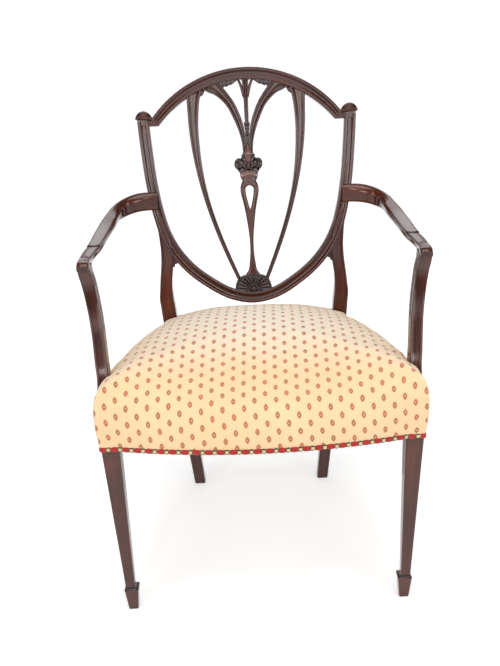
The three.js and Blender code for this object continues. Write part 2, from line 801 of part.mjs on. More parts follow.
const frontLegInner = frontLegHalfSpan - frontLegWidth / 2;
const frontLegOuter = frontLegHalfSpan + frontLegWidth / 2;
const frontLegBack = frontLegFront + frontLegWidth;

// Front line of the seat: an arc between the front legs
function frontLine(across) {
  const share = Math.min(1, Math.abs(across) / frontLegInner);
  return frontLegFront - frontRailBulge * (1 - share ** 2);
}

// Outer line of the seat's side, from the back of the front leg to the back
function sideLine(depth) {
  const share = Math.max(0, (depth - frontLegBack) / (seatBackDepth - frontLegBack));
  const bow = sideRailBulge * (1 - (2 * share - 1) ** 2);
  return THREE.MathUtils.lerp(frontLegOuter, seatBackHalfWidth, share) + bow;
}

// Middle of a back leg at a height below the top of the seat
function backLegSpan(height) {
  return THREE.MathUtils.lerp(backFootHalfSpan, stileHalfSpan, height / shieldFootHeight);
}

const backLegFace = backLegFront(railMiddle, backLegSpan(railMiddle));

function extruded(points, bottom, height) {
  const shape = new THREE.Shape(points.map(([x, y]) => new THREE.Vector2(x, y)));
  const geometry = new THREE.ExtrudeGeometry(shape, { depth: height, bevelEnabled: false });
  geometry.translate(0, 0, bottom);
  return solidOf(geometry);
}

function ordered(a, b) {
  return [Math.min(a, b), Math.max(a, b)];
}

function frontRailBody(grow = 0) {
  const half = frontLegInner - clearance + grow;
  const outer = [];
  const inner = [];
  for (let step = 0; step <= 2 * railSteps; step += 1) {
    const across = THREE.MathUtils.lerp(-half, half, step / railSteps / 2);
    outer.push([across, frontLine(across) - grow]);
    inner.unshift([across, frontLine(across) + railThickness + grow]);
  }
  return extruded([...outer, ...inner], railBottom - grow, railHeight + 2 * grow);
}

function sideRailBody(side, grow = 0, outward = 0) {
  const front = frontLegBack + clearance - grow;
  const outer = [];
  const inner = [];
  for (let step = 0; step <= railSteps; step += 1) {
    const depth = THREE.MathUtils.lerp(front, railBackEnd, step / railSteps);
    outer.push([side * (sideLine(depth) + grow + outward), depth]);
    inner.unshift([side * (sideLine(depth) - railThickness - grow), depth]);
  }
  return extruded([...outer, ...inner], railBottom - grow, railHeight + 2 * grow);
}

function backRailBody(grow = 0) {
  return block(
    [-stileHalfSpan, stileHalfSpan],
    [backRailFront - grow, backRailFront + railThickness + grow],
    [railBottom - grow, railTop + grow],
  );
}

const railBackEnd = backLegFront(railBottom, backLegSpan(railBottom));
const tenonLevels = [railMiddle - seatTenonHeight / 2, railMiddle + seatTenonHeight / 2];

// Tenon of the front rail, which runs across into a front leg
function frontTenon(side, grow = 0) {
  const limits = ordered(side * (frontLegInner - seatTenonLength), side * (frontLegInner + seatTenonLength));
  const front = frontLegFront + seatTenonInset;
  return block(limits, [front, front + tenonThickness], tenonLevels, grow);
}

// Tenon of a side rail, which runs forward into a front leg or back into a back leg
function sideTenon(side, shoulder, grow = 0) {
  const middle = side * (sideLine(shoulder) - sideTenonInset);
  return block(
    [middle - tenonThickness / 2, middle + tenonThickness / 2],
    [shoulder - seatTenonLength, shoulder + seatTenonLength],
    tenonLevels,
    grow,
  );
}

// Tenon of the back rail, which runs across into a back leg
function backTenon(side, grow = 0) {
  const shoulder = backLegSpan(railMiddle) - backLegWidth / 2;
  const limits = ordered(side * (shoulder - seatTenonLength), side * (shoulder + backTenonLength));
  const front = backRailFront + seatTenonInset;
  return block(limits, [front, front + tenonThickness], tenonLevels, grow);
}

// Three-cornered blocks glued and screwed into the corners of the seat frame
function cornerBlock(side, end) {
  const front = end === 'front';
  const [across, depth] = front
    ? [frontLegHalfSpan, frontLegFront + seatTenonInset]
    : [stileHalfSpan, backRailFront + seatTenonInset];
  const reach = front ? frontBlockReach : backBlockReach;
  const inward = front ? 1 : -1;
  const corners = [[across, depth], [across, depth + inward * reach], [across - reach, depth]];
  return extruded(corners.map(([x, y]) => [side * x, y]), railBottom + blockInset, blockHeight);
}

// A countersunk screw with its head at a place and its point along a direction
function placedScrew(length, at, along, grow = 0) {
  const head = screwHeadRadius + grow;
  const shank = screwShankRadius + grow;
  const profile = [
    [0, -grow], [head, -grow], [shank, head - shank], [shank, length - shank], [0, length + grow],
  ].map(([radius, forward]) => new THREE.Vector2(radius, forward));
  const geometry = new THREE.LatheGeometry(profile, screwFacets);
  geometry.applyQuaternion(new THREE.Quaternion().setFromUnitVectors(
    new THREE.Vector3(0, 1, 0),
    along.clone().normalize(),
  ));
  geometry.translate(at.x, at.y, at.z);
  return solidOf(geometry);
}

// Bore for a screw: the screw grown by the clearance, open behind its head
function screwBore(length, at, along) {
  const step = along.clone().normalize();
  const radius = screwHeadRadius + clearance;
  const geometry = new THREE.CylinderGeometry(radius, radius, length, screwFacets * 2);
  geometry.translate(0, -length / 2, 0);
  geometry.applyQuaternion(new THREE.Quaternion().setFromUnitVectors(new THREE.Vector3(0, 1, 0), step));
  geometry.translate(at.x, at.y, at.z);
  return placedScrew(length, at, along, clearance).add(solidOf(geometry));
}

// The two screws of a corner block, one into each rail that it braces
function blockScrews(side, end) {
  const front = end === 'front';
  const level = railBottom + blockInset + blockScrewRise;
  const length = front ? frontBlockScrewLength : backBlockScrewLength;
  const reach = front ? frontBlockReach : backBlockReach;
  const near = reach * blockScrewShare;
  const [across, depth, inward] = front
    ? [frontLegHalfSpan, frontLegFront + seatTenonInset, 1]
    : [stileHalfSpan, backRailFront + seatTenonInset, -1];
  const head = near - screwHeadRadius;
  const sideHead = front ? head + near * frontScrewShiftShare : head;
  const sideDepth = reach - near - (front ? near * frontScrewShiftShare : 0);
  const intoEnd = [
    new THREE.Vector3(side * (across - reach + near), depth + inward * head, level),
    new THREE.Vector3(0, -inward, 0),
    length,
  ];
  const intoSide = [
    new THREE.Vector3(side * (across - sideHead), depth + inward * sideDepth, level),
    new THREE.Vector3(side, 0, 0),
    length,
  ];
  return [intoEnd, intoSide];
}

function supportScrews(side) {
  const depth = supportFootDepth + supportDepth / 2;
  return supportScrewRises.map((rise) => [
    new THREE.Vector3(side * (sideLine(depth) - railThickness + clearance), depth, railBottom + rise),
    new THREE.Vector3(side, 0, 0),
    supportScrewLength,
  ]);
}

function armScrew(side) {
  return [
    shieldPoint(side * (armJointSpan + armScrewOutset), armJointUp, clearance - memberDepth),
    shieldFront,
    armScrewLength,
  ];
}

const webbingLow = railTop + clearance + webbingThickness / 2;
const webbingWave = (webbingThickness + clearance + clearance) / 2;

// Where the straps of one direction lie, counted from the middle
function webbingPlaces(middle) {
  return Array.from({ length: webbingCount }, (_, index) => middle + (index - (webbingCount - 1) / 2) * webbingPitch);
}

// One strap: over and under the straps that it crosses, its ends lapped on the rails
function webbingStrap(start, finish, crossings, phase, place) {
  const half = webbingWidth / 2;
  const path = [[start, 0]];
  crossings.forEach((crossing, index) => {
    const lift = (index + phase) % 2 === 0 ? 2 * webbingWave : 0;
    path.push([crossing - half - webbingThickness, lift], [crossing + half + webbingThickness, lift]);
  });
  path.push([finish, 0]);
  return loft(path.map(([along, lift]) => (
    [[-half, -1], [half, -1], [half, 1], [-half, 1]].map(([across, up]) => (
      place(along, across, webbingLow + lift + up * webbingThickness / 2)
    ))
  )));
}

// Wood line of the seat seen from above, from the left back corner round by the front
function seatOutline() {
  const points = [];
  const corner = (across, depth, from) => {
    for (let step = 0; step <= 2; step += 1) {
      const turn = from + (step / 2) * (Math.PI / 2);
      points.push([across + coverCornerRadius * Math.cos(turn), depth + coverCornerRadius * Math.sin(turn)]);
    }
  };
  corner(-sideLine(seatBackDepth) + coverCornerRadius, seatBackDepth - coverCornerRadius, Math.PI / 2);
  for (let step = 1; step <= sideSteps; step += 1) {
    const depth = THREE.MathUtils.lerp(seatBackDepth, frontLegBack, step / sideSteps);
    points.push([-sideLine(depth), depth]);
  }
  corner(-frontLegOuter + coverCornerRadius, frontLegFront + coverCornerRadius, Math.PI);
  for (let step = 1; step < frontSteps; step += 1) {
    const across = THREE.MathUtils.lerp(-frontLegOuter, frontLegOuter, step / frontSteps);
    points.push([across, frontLine(across)]);
  }
  corner(frontLegOuter - coverCornerRadius, frontLegFront + coverCornerRadius, 1.5 * Math.PI);
  for (let step = 0; step < sideSteps; step += 1) {
    const depth = THREE.MathUtils.lerp(frontLegBack, seatBackDepth, step / sideSteps);
    points.push([sideLine(depth), depth]);
  }
  corner(sideLine(seatBackDepth) - coverCornerRadius, seatBackDepth - coverCornerRadius, 0);
  for (let step = 1; step < backSteps; step += 1) {
    points.push([THREE.MathUtils.lerp(seatBackHalfWidth, -seatBackHalfWidth, step / backSteps), seatBackDepth]);
  }
  return points.map(([x, y]) => new THREE.Vector2(x, y));
}

// How much a place on the seat's outline belongs to the long front roll
function frontWeight(point) {
  if (point.y > frontLegFront + coverCornerRadius) return 0;
  return 1 - Math.min(1, Math.abs(point.x) / frontLegOuter) ** cornerPower;
}

// Height of the rolled edge at a place on the outline: swelling between the drawn-down corners
function edgeHeight(point) {
  const across = Math.min(1, Math.abs(point.x) / (point.y > seatCentreDepth ? seatBackHalfWidth : frontLegOuter)) ** 2;
  if (point.y > seatBackDepth - coverCornerRadius) {
    return railTop + THREE.MathUtils.lerp(backMiddleRise, backCornerRise, across);
  }
  if (point.y < frontLegFront + coverCornerRadius) {
    return railTop + THREE.MathUtils.lerp(frontMiddleRise, frontCornerRise, across);
  }
  const share = (point.y - frontLegFront) / (seatBackDepth - frontLegFront);
  const swell = sideSwell * (1 - (2 * share - 1) ** 2);
  return railTop + THREE.MathUtils.lerp(frontCornerRise, backCornerRise, share) + swell;
}

// Edge of the upholstery at a place: (inward, height) down the face and over the roll
function edgeProfile(point, inset) {
  const weight = frontWeight(point);
  const top = edgeHeight(point);
  const rows = sideRollShares.map(([rise, sideShare], index) => {
    const frontShare = frontRollShares[index][1];
    const sideIn = sideShare > 0 ? -sideShare * sideReach : -sideShare * sideRoll;
    const frontIn = frontShare > 0 ? -frontShare * frontReach : -frontShare * frontRoll;
    const height = THREE.MathUtils.lerp(coverBottom, top, rise);
    return new THREE.Vector2(THREE.MathUtils.lerp(sideIn, frontIn, weight), height);
  });
  return rows.map((row, index) => {
    const before = rows[Math.max(0, index - 1)];
    const after = rows[Math.min(rows.length - 1, index + 1)];
    const along = after.clone().sub(before).normalize();
    return new THREE.Vector2(row.x + along.y * inset, row.y - along.x * inset);
  });
}

// The upholstered form: a rolled edge round a low crown, drawn in by an inset
function upholstery(inset) {
  const centre = new THREE.Vector2(0, seatCentreDepth);
  const rings = [];
  const outline = seatOutline();
  const columns = outline.map((point) => {
    const inward = centre.clone().sub(point);
    const reach = inward.length();
    inward.normalize();
    const rows = edgeProfile(point, inset);
    const last = rows[rows.length - 1];
    for (let step = 1; step <= crownSteps; step += 1) {
      const share = step / (crownSteps + crownCentreGap);
      const rise = 1 - (1 - share) ** crownPower;
      rows.push(new THREE.Vector2(
        THREE.MathUtils.lerp(last.x, reach, share),
        THREE.MathUtils.lerp(last.y, seatCrownHeight - inset, rise),
      ));
    }
    return rows.map((row) => new THREE.Vector3(point.x + inward.x * row.x, point.y + inward.y * row.x, row.y));
  });
  for (let row = 0; row < columns[0].length; row += 1) rings.push(columns.map((column) => column[row]));
  rings.unshift(rings[0].map((point) => point.clone().setZ(coverBottom - (inset > 0 ? cutOverrun : 0))));
  return loft(rings);
}

// Takes off what would stand proud of the cover: rasped corners and edges of legs and rails
function underCover(solid) {
  const below = block([-armSpan, armSpan], [-armSpan, armSpan], [-cutOverrun, coverBottom - clearance]);
  return joined([solid.intersect(upholstery(coverThickness + clearance)), solid.intersect(below)]);
}

// Room beside and behind a back leg, which the upholstery leaves bare
function besideLeg(side) {
  const across = ordered(side * backLegSpan(railMiddle), side * armSpan);
  return block(across, [backLegFace + clearance, armSpan], [railBottom - railHeight, seatCrownHeight]);
}

function seatSheet(inset, bottom, height) {
  const centre = new THREE.Vector2(0, seatCentreDepth);
  const points = seatOutline().map((point) => {
    const inward = centre.clone().sub(point).normalize();
    return [point.x + inward.x * inset, point.y + inward.y * inset];
  });
  return extruded(points, bottom, height);
}

// Braid: a flat band round the bottom of the cover
function braidBand() {
  const ring = (inset, bottom, height) => seatSheet(-inset, bottom, height);
  const inner = sideReach * sideRollShares[0][1] + clearance;
  return ring(inner + braidThickness, braidBottom, braidHeight)
    .subtract(ring(inner, braidBottom - cutOverrun, braidHeight + 2 * cutOverrun));
}

const chair = new THREE.Group();

function addPiece(name, solid, finish) {
  const mesh = new THREE.Mesh(geometryOf(solid), new THREE.MeshStandardMaterial(finish));
  mesh.name = name;
  chair.add(mesh);
}

function addScrews(name, screws) {
  screws.forEach(([at, along, length], index) => {
    addPiece(`${name}_${index + 1}`, placedScrew(length, at, along), steel);
  });
}

const boresOf = (screws) => screws.map(([at, along, length]) => screwBore(length, at, along));
const sides = [['left', -1], ['right', 1]];
const ends = ['front', 'back'];
const outerRibs = (grow) => sides.map(([, side]) => outerRib(side, grow));
const round = shieldRound();

// The back: bow, lunette, splat and crest
const bowHalf = bowJointSpan - clearance / 2;
const bowPart = round.intersect(shieldBlock(
  [-bowHalf, bowHalf],
  [-cutOverrun, shieldHeight / 2],
  [-2 * memberDepth, memberDepth],
));
addPiece('shield_bow', cutBy(joined([bowPart, bowTenon(-1), bowTenon(1)]), [lunette(clearance)]), polish);
addPiece('lunette', cutBy(lunette(), [vase(clearance), ...outerRibs(clearance)]), polish);
addPiece('centre_splat', joined([vase(), carvedUrn(), splatRibs()]), polish);
const carvedCrest = sides.flatMap(([, side]) => [ear(side), drapery(side), crestBracket(side)]);
const crestMortises = sides.map(([, side]) => earTenon(side, clearance));
addPiece('crest_rail', cutBy(
  joined([crestArch(), ...carvedCrest]),
  [...crestMortises, ...outerRibs(clearance), splatRibs(clearance)],
), polish);

const frontBlocks = boresOf(sides.flatMap(([, side]) => blockScrews(side, 'front')));
const backBlocks = boresOf(sides.flatMap(([, side]) => blockScrews(side, 'back')));

for (const [name, side] of sides) {
  const upright = joined([backLegCore(side), shieldSideOf(side, round), earTenon(side)]);
  addPiece(`${name}_back_leg`, cutBy(upright, [
    bowTenon(side, clearance),
    armLoft(side, clearance),
    sideTenon(side, backLegFace, clearance),
    backTenon(side, clearance),
    ...boresOf([armScrew(side)]),
  ]), polish);
  addPiece(`${name}_outer_rib`, outerRib(side), polish);
  addPiece(`${name}_arm`, cutBy(armLoft(side), [armTenon(side, clearance), ...boresOf([armScrew(side)])]), polish);
  addPiece(`${name}_arm_support`, cutBy(
    joined([cutBy(supportLoft(side), [armLoft(side, clearance)]), armTenon(side)]),
    boresOf(supportScrews(side)),
  ), polish);
  addPiece(`${name}_front_leg`, cutBy(underCover(frontLeg(side)), [
    frontTenon(side, clearance),
    sideTenon(side, frontLegBack, clearance),
  ]), polish);
  const railBody = cutBy(sideRailBody(side), [backLegCore(side, clearance)]);
  const railSolid = joined([railBody, sideTenon(side, frontLegBack), sideTenon(side, backLegFace)]);
  addPiece(`${name}_side_rail`, cutBy(underCover(railSolid), [
    supportLoft(side, clearance),
    ...boresOf(supportScrews(side)),
    ...frontBlocks,
    ...backBlocks,
  ]), oldBeech);
  addScrews(`${name}_arm_screw`, [armScrew(side)]);
  addScrews(`${name}_support_screw`, supportScrews(side));
}

// The seat frame
const backLegCuts = sides.map(([, side]) => backLegCore(side, clearance));
const frontRail = joined([frontRailBody(), frontTenon(-1), frontTenon(1)]);
addPiece('front_seat_rail', cutBy(underCover(frontRail), frontBlocks), oldBeech);
const backRail = joined([cutBy(backRailBody(), backLegCuts), backTenon(-1), backTenon(1)]);
addPiece('back_seat_rail', cutBy(backRail, backBlocks), oldBeech);
for (const [name, side] of sides) {
  for (const end of ends) {
    addPiece(`${name}_${end}_corner_block`, cutBy(cornerBlock(side, end), [
      sideRailBody(side, clearance, railThickness),
      ...(end === 'front' ? [frontRailBody(clearance), frontLeg(side, clearance)] : [backRailBody(clearance)]),
      backLegCore(side, clearance),
      ...boresOf(blockScrews(side, end)),
    ]), oldBeech);
    addScrews(`${name}_${end}_block_screw`, blockScrews(side, end));
  }
}

// Webbing, hessian, stuffing, cover and braid
const acrossPlaces = webbingPlaces(0);
const depthPlaces = webbingPlaces(webbingMiddle);
acrossPlaces.forEach((across, index) => {
  const start = frontLine(across) + webbingLap;
  const finish = backRailFront + railThickness - webbingLap;
  const place = (along, sideways, height) => new THREE.Vector3(across + sideways, along, height);
  addPiece(`long_webbing_${index + 1}`, webbingStrap(start, finish, depthPlaces, index, place), jute);
});
depthPlaces.forEach((depth, index) => {
  const half = sideLine(depth + webbingWidth / 2) - webbingLap;
  const place = (along, sideways, height) => new THREE.Vector3(along, depth + sideways, height);
  addPiece(`cross_webbing_${index + 1}`, webbingStrap(-half, half, acrossPlaces, index + 1, place), jute);
});

const seatCuts = sides.flatMap(([, side]) => [
  backLegCore(side, clearance),
  besideLeg(side),
  supportLoft(side, clearance),
]);
const hessianBottom = webbingLow + 2 * webbingWave + webbingThickness / 2 + clearance;
const hessianTop = hessianBottom + hessianThickness;
const hessian = underCover(seatSheet(hessianInset, hessianBottom, hessianThickness));
addPiece('hessian', cutBy(hessian, seatCuts), jute);
const stuffingFloor = block(
  [-armSpan, armSpan],
  [-armSpan, armSpan],
  [0, hessianTop + clearance],
);
addPiece('seat_stuffing', cutBy(upholstery(coverThickness + clearance), [stuffingFloor, ...seatCuts]), hair);
addPiece('seat_cover', cutBy(upholstery(0), [upholstery(coverThickness), ...seatCuts]), fabric);

const braid = cutBy(braidBand(), [upholstery(-clearance), ...seatCuts]);
const braidLevels = [braidBottom - cutOverrun, braidBottom + braidHeight + cutOverrun];
const supportMiddle = supportFootDepth + supportDepth / 2;
const braidParts = [
  ['front_braid', [-armSpan, armSpan], [-armSpan, supportMiddle]],
  ['left_braid', [-armSpan, 0], [supportMiddle, backLegFace]],
  ['right_braid', [0, armSpan], [supportMiddle, backLegFace]],
  ['back_braid', [-backLegSpan(railBottom), backLegSpan(railBottom)], [backLegFace, armSpan]],
];
for (const [name, across, depth] of braidParts) {
  addPiece(name, braid.intersect(block(across, depth, braidLevels)), braidRed);
}

// The origin lies under the middle of the chair, on the floor
const extent = new THREE.Box3().setFromObject(chair);
chair.position.y = -(extent.min.y + extent.max.y) / 2;

export default chair;
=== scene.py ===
import math

import bmesh
import bpy
import numpy as np
from mathutils import Matrix, Vector


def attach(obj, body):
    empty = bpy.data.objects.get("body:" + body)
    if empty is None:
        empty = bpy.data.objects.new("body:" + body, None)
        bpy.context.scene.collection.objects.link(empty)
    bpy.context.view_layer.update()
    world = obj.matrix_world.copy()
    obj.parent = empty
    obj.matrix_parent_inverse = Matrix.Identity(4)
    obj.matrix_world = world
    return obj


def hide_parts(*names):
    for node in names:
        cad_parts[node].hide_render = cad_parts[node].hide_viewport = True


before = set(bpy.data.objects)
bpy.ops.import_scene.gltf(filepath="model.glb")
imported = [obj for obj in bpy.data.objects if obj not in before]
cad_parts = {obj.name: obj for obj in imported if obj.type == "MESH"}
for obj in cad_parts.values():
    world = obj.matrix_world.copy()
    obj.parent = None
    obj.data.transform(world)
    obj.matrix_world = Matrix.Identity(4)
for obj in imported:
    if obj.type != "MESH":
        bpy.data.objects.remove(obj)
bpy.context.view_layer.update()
print("frame loaded:", len(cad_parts), "nodes")

mm = 0.001
shift = -31.444  # the frame's origin is under the middle of the chair's box, mm along Y
sides = (("left", -1), ("right", 1))

# Ways to make a mesh


def smoothStep(t):
    t = np.clip(t, 0, 1)
    return t * t * (3 - 2 * t)


def through(rows, samples):
    # Smooth curve through rows, first column the place: monotone cubic pieces, each slope limited by both
    # neighbours
    rows = np.asarray(rows, float)
    x, y = rows[:, 0], rows[:, 1:]
    h = np.diff(x)[:, None]
    d = np.diff(y, axis=0) / h
    m = np.zeros_like(y)
    same = d[:-1] * d[1:] > 0
    weightA, weightB = 2 * h[1:] + h[:-1], h[1:] + 2 * h[:-1]
    with np.errstate(divide="ignore", invalid="ignore"):
        harmonic = (weightA + weightB) / (weightA / d[:-1] + weightB / d[1:])
    m[1:-1] = np.where(same, harmonic, 0)
    m[0], m[-1] = d[0], d[-1]
    at = np.clip(np.asarray(samples, float), x[0], x[-1])
    i = np.clip(np.searchsorted(x, at, side="right") - 1, 0, len(x) - 2)
    t = ((at - x[i]) / np.diff(x)[i])[:, None]
    a, b, hh = y[i], y[i + 1], np.diff(x)[i][:, None]
    return ((1 + 2 * t) * (1 - t) ** 2 * a + t * (1 - t) ** 2 * hh * m[i]
            + t * t * (3 - 2 * t) * b + t * t * (t - 1) * hh * m[i + 1])


def alongCurve(points, count):
    # Catmull-Rom curve through the points, chordal, then taken at equal lengths
    p = np.asarray(points, float)
    p = np.vstack([2 * p[0] - p[1], p, 2 * p[-1] - p[-2]])
    knots = np.concatenate([[0], np.cumsum(np.linalg.norm(np.diff(p, axis=0), axis=1))])
    fine = np.linspace(knots[1], knots[-2], 40 * len(p))
    i = np.clip(np.searchsorted(knots, fine, side="right") - 1, 1, len(p) - 3)
    k = [knots[i - 1][:, None], knots[i][:, None], knots[i + 1][:, None], knots[i + 2][:, None]]
    t = fine[:, None]
    a1 = (k[1] - t) / (k[1] - k[0]) * p[i - 1] + (t - k[0]) / (k[1] - k[0]) * p[i]
    a2 = (k[2] - t) / (k[2] - k[1]) * p[i] + (t - k[1]) / (k[2] - k[1]) * p[i + 1]
    a3 = (k[3] - t) / (k[3] - k[2]) * p[i + 1] + (t - k[2]) / (k[3] - k[2]) * p[i + 2]
    b1 = (k[2] - t) / (k[2] - k[0]) * a1 + (t - k[0]) / (k[2] - k[0]) * a2
    b2 = (k[3] - t) / (k[3] - k[1]) * a2 + (t - k[1]) / (k[3] - k[1]) * a3
    c = (k[2] - t) / (k[2] - k[1]) * b1 + (t - k[1]) / (k[2] - k[1]) * b2
    run = np.concatenate([[0], np.cumsum(np.linalg.norm(np.diff(c, axis=0), axis=1))])
    even = np.linspace(0, run[-1], count)
    return np.stack([np.interp(even, run, c[:, j]) for j in range(c.shape[1])], 1), run[-1]


def gridFaces(rows, columns, closed, start=0):
    # Quads between neighbours on a grid of rows by columns; closed joins the last column to the first
    last = columns if closed else columns - 1
    r, c = np.meshgrid(np.arange(rows - 1) * columns, np.arange(last), indexing="ij")
    n = (c + 1) % columns
    quads = np.stack([r + c, r + n, r + columns + n, r + columns + c], -1).reshape(-1, 4) + start
    return [tuple(quad) for quad in quads.tolist()]


def meshPlaces(mesh):
    co = np.zeros(len(mesh.vertices) * 3)
    mesh.vertices.foreach_get("co", co)
    return co.reshape(-1, 3)


def layMap(mesh, places):
    # The map "along" holds each vertex's place on its finish, in metres
    corners = np.zeros(len(mesh.loops), int)
    mesh.loops.foreach_get("vertex_index", corners)
    layer = mesh.uv_layers.get("along")
    if layer is None:
        layer = mesh.uv_layers.new(name="along")
    layer.data.foreach_set("uv", places[corners].astype(np.float32).ravel())


def linked(name, data):
    made = bpy.data.objects.new(name, data)
    bpy.context.scene.collection.objects.link(made)
    return made


def finishMesh(name, points, faces, material, uv, shadeAndPatina=None, sharpDegrees=50, weld=0.0):
    # points in mm in the chair's own frame; each vertex carries (along, around) in mm and a mask from 0 to 1 of
    # painted shade, with some polish build-up in the hollows
    mesh = bpy.data.meshes.new(name)
    mesh.from_pydata((points * mm).tolist(), [], faces)
    layMap(mesh, np.asarray(uv, float) * mm)
    shade = np.zeros(len(points)) if shadeAndPatina is None else shadeAndPatina
    mesh.attributes.new("shadeAndPatina", "FLOAT", "POINT").data.foreach_set("value", shade.astype(np.float32))
    edit = bmesh.new()
    edit.from_mesh(mesh)
    if weld > 0:
        bmesh.ops.remove_doubles(edit, verts=edit.verts, dist=weld * mm)
        bmesh.ops.dissolve_degenerate(edit, dist=1e-7, edges=edit.edges)
    bmesh.ops.recalc_face_normals(edit, faces=edit.faces)
    limit = math.radians(sharpDegrees)
    for edge in edit.edges:
        edge.smooth = len(edge.link_faces) == 2 and edge.calc_face_angle(0) < limit
    edit.to_mesh(mesh)
    edit.free()
    mesh.polygons.foreach_set("use_smooth", np.ones(len(mesh.polygons), bool))
    mesh.materials.append(material)
    return linked(name, mesh)


def skinned(rings, start=0):
    # Points and faces of a closed body over rings (rows, columns, 3), each end closed by a fan to its middle
    rows, columns = rings.shape[:2]
    points = np.vstack([rings.reshape(-1, 3), rings[0].mean(0), rings[-1].mean(0)])
    first, base = start + rows * columns, start + (rows - 1) * columns
    pairs = [(c, (c + 1) % columns) for c in range(columns)]
    faces = gridFaces(rows, columns, True, start)
    faces += [(start + n, start + c, first) for c, n in pairs]
    faces += [(base + c, base + n, first + 1) for c, n in pairs]
    return points, faces


def tube(name, rings, material, lengths, shadeAndPatina=None, sharpDegrees=50):
    # Closed body over rings; its map runs along the lengths and round the middle ring
    rings = np.asarray(rings, float)
    rows, columns = rings.shape[:2]
    points, faces = skinned(rings)
    step = np.linalg.norm(np.diff(rings[rows // 2], axis=0, append=rings[rows // 2][:1]), axis=1)
    girth = np.concatenate([[0], np.cumsum(step[:-1])])
    u = np.repeat(np.asarray(lengths, float), columns)
    uv = np.vstack([np.stack([u, np.tile(girth, rows)], 1), [[u[0], 0], [u[-1], 0]]])
    shade = None
    if shadeAndPatina is not None:
        shade = np.concatenate([np.broadcast_to(shadeAndPatina, (rows, columns)).ravel(), [1, 1]])
    return finishMesh(name, points, faces, material, uv, shade, sharpDegrees)


def place(piece, *nodes, slot="polished_wood"):
    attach(piece, "root")
    if nodes:
        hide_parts(*nodes)


def roundedSection(width, depth, radius, corner=5, side=3):
    # Rectangles with rounded corners, counter-clockwise from the middle of the right side: (rows, points)
    x, y, r = width[:, None] / 2, depth[:, None] / 2, radius[:, None]
    flat, share = np.ones(side), 1 - 2 * np.linspace(0, 1, side + 2)[1:-1]
    xs, ys = [], []
    for k, (sx, sy) in enumerate([(1, 1), (-1, 1), (-1, -1), (1, -1)]):
        a = np.linspace(0, math.pi / 2, corner) + k * math.pi / 2
        level = k % 2 == 0  # the side after this corner runs across
        xs += [sx * (x - r) + r * np.cos(a), sx * ((x - r) * share if level else x * flat)]
        ys += [sy * (y - r) + r * np.sin(a), sy * (y * flat if level else (y - r) * share)]
    return np.concatenate(xs, -1), np.concatenate(ys, -1)


# The leaning, slightly bowed plane of the shield

shield = dict(
    footDepth=215.0, footHeight=469.0, rakeDegrees=10.45, planRadius=2300.0, height=506.0, halfSpan=222.0,
)
rake = math.radians(shield["rakeDegrees"])


def onShield(across, up, forward):
    # The foot point, plus up along the lean, plus forward and the plan bow square to it
    across, up, forward = np.broadcast_arrays(np.asarray(across, float), up, forward)
    lift = forward + across ** 2 / (2 * shield["planRadius"])
    y = shield["footDepth"] + shift + up * math.sin(rake) - lift * math.cos(rake)
    z = shield["footHeight"] + up * math.cos(rake) + lift * math.sin(rake)
    return np.stack([across, y, z], -1)


def sweepOnShield(path, section, ceiling=None):
    # path rows of (across, up); section gives (sideways, forward) arrays for each row: rings square to the path,
    # and nothing higher than the ceiling, a function of the place across
    ahead = np.gradient(path, axis=0)
    ahead /= np.linalg.norm(ahead, axis=1)[:, None]
    side = np.stack([-ahead[:, 1], ahead[:, 0]], 1)
    sideways, forward = section
    across = path[:, 0][:, None] + side[:, 0][:, None] * sideways
    up = path[:, 1][:, None] + side[:, 1][:, None] * sideways
    if ceiling is not None:
        up = np.minimum(up, ceiling(across))
    return onShield(across, up, forward)


def pathLengths(path):
    return np.concatenate([[0], np.cumsum(np.linalg.norm(np.diff(path, axis=0), axis=1))])


# Finishes


class Signal:
    # A node's output to reckon with: arithmetic on it adds Math nodes
    def __init__(self, nodes, made, out):
        self.nodes, self.made, self.out = nodes, made, out

    def math(self, operation, *others):
        return self.nodes.add("Math", dict(enumerate((self, *others))), operation=operation)

    def __add__(self, other):
        return self.math("ADD", other)

    def __sub__(self, other):
        return self.math("SUBTRACT", other)

    def __rsub__(self, other):
        return self.nodes.add("Math", {0: other, 1: self}, operation="SUBTRACT")

    def __mul__(self, other):
        return self.math("MULTIPLY", other)

    def __truediv__(self, other):
        return self.math("DIVIDE", other)


class Nodes:
    # A node tree being built: an input given as a signal is linked, any other is set
    def __init__(self, tree):
        self.tree = tree
        tree.nodes.clear()

    def fill(self, made, inputs):
        for key, value in inputs.items():
            socket = made.inputs[key]
            if isinstance(value, Signal):
                self.tree.links.new(value.made.outputs[value.out], socket)
            else:
                socket.default_value = (*value, 1) if socket.type == "RGBA" else value

    def add(self, kind, inputs=None, out=0, **settings):
        made = self.tree.nodes.new("ShaderNode" + kind)
        for key, value in settings.items():
            setattr(made, key, value)
        self.fill(made, inputs or {})
        return Signal(self, made, out)

    def noise(self, vector, scale, detail, roughness=0.5, distortion=0.0):
        return self.add("TexNoise", {"Vector": vector, "Scale": scale, "Detail": detail, "Roughness": roughness,
                                     "Distortion": distortion})

    def wave(self, vector, direction, spacing, distortion, detail=2.0):
        # Bands; spacing in mm is what the wave's scale is one over
        return self.add("TexWave", {"Vector": vector, "Scale": 1 / (spacing * mm), "Distortion": distortion,
                                    "Detail": detail}, 1, bands_direction=direction)

    def stretched(self, vector, scales):
        return self.add("Mapping", {0: vector, 3: scales})

    def between(self, value, source, target, kind="LINEAR"):
        return self.add("MapRange", dict(enumerate((value, *source, *target))), interpolation_type=kind)

    def ramp(self, factor, stops):
        made = self.add("ValToRGB", {0: factor})
        items = made.made.color_ramp.elements
        while len(items) < len(stops):
            items.new(0.5)
        for item, (position, colour) in zip(items, stops):
            item.position = position
            item.color = (*colour, 1)
        return made

    def blend(self, factor, a, b, mode="MIX"):
        return self.add("Mix", {0: factor, 6: a, 7: b}, 2, data_type="RGBA", blend_type=mode)


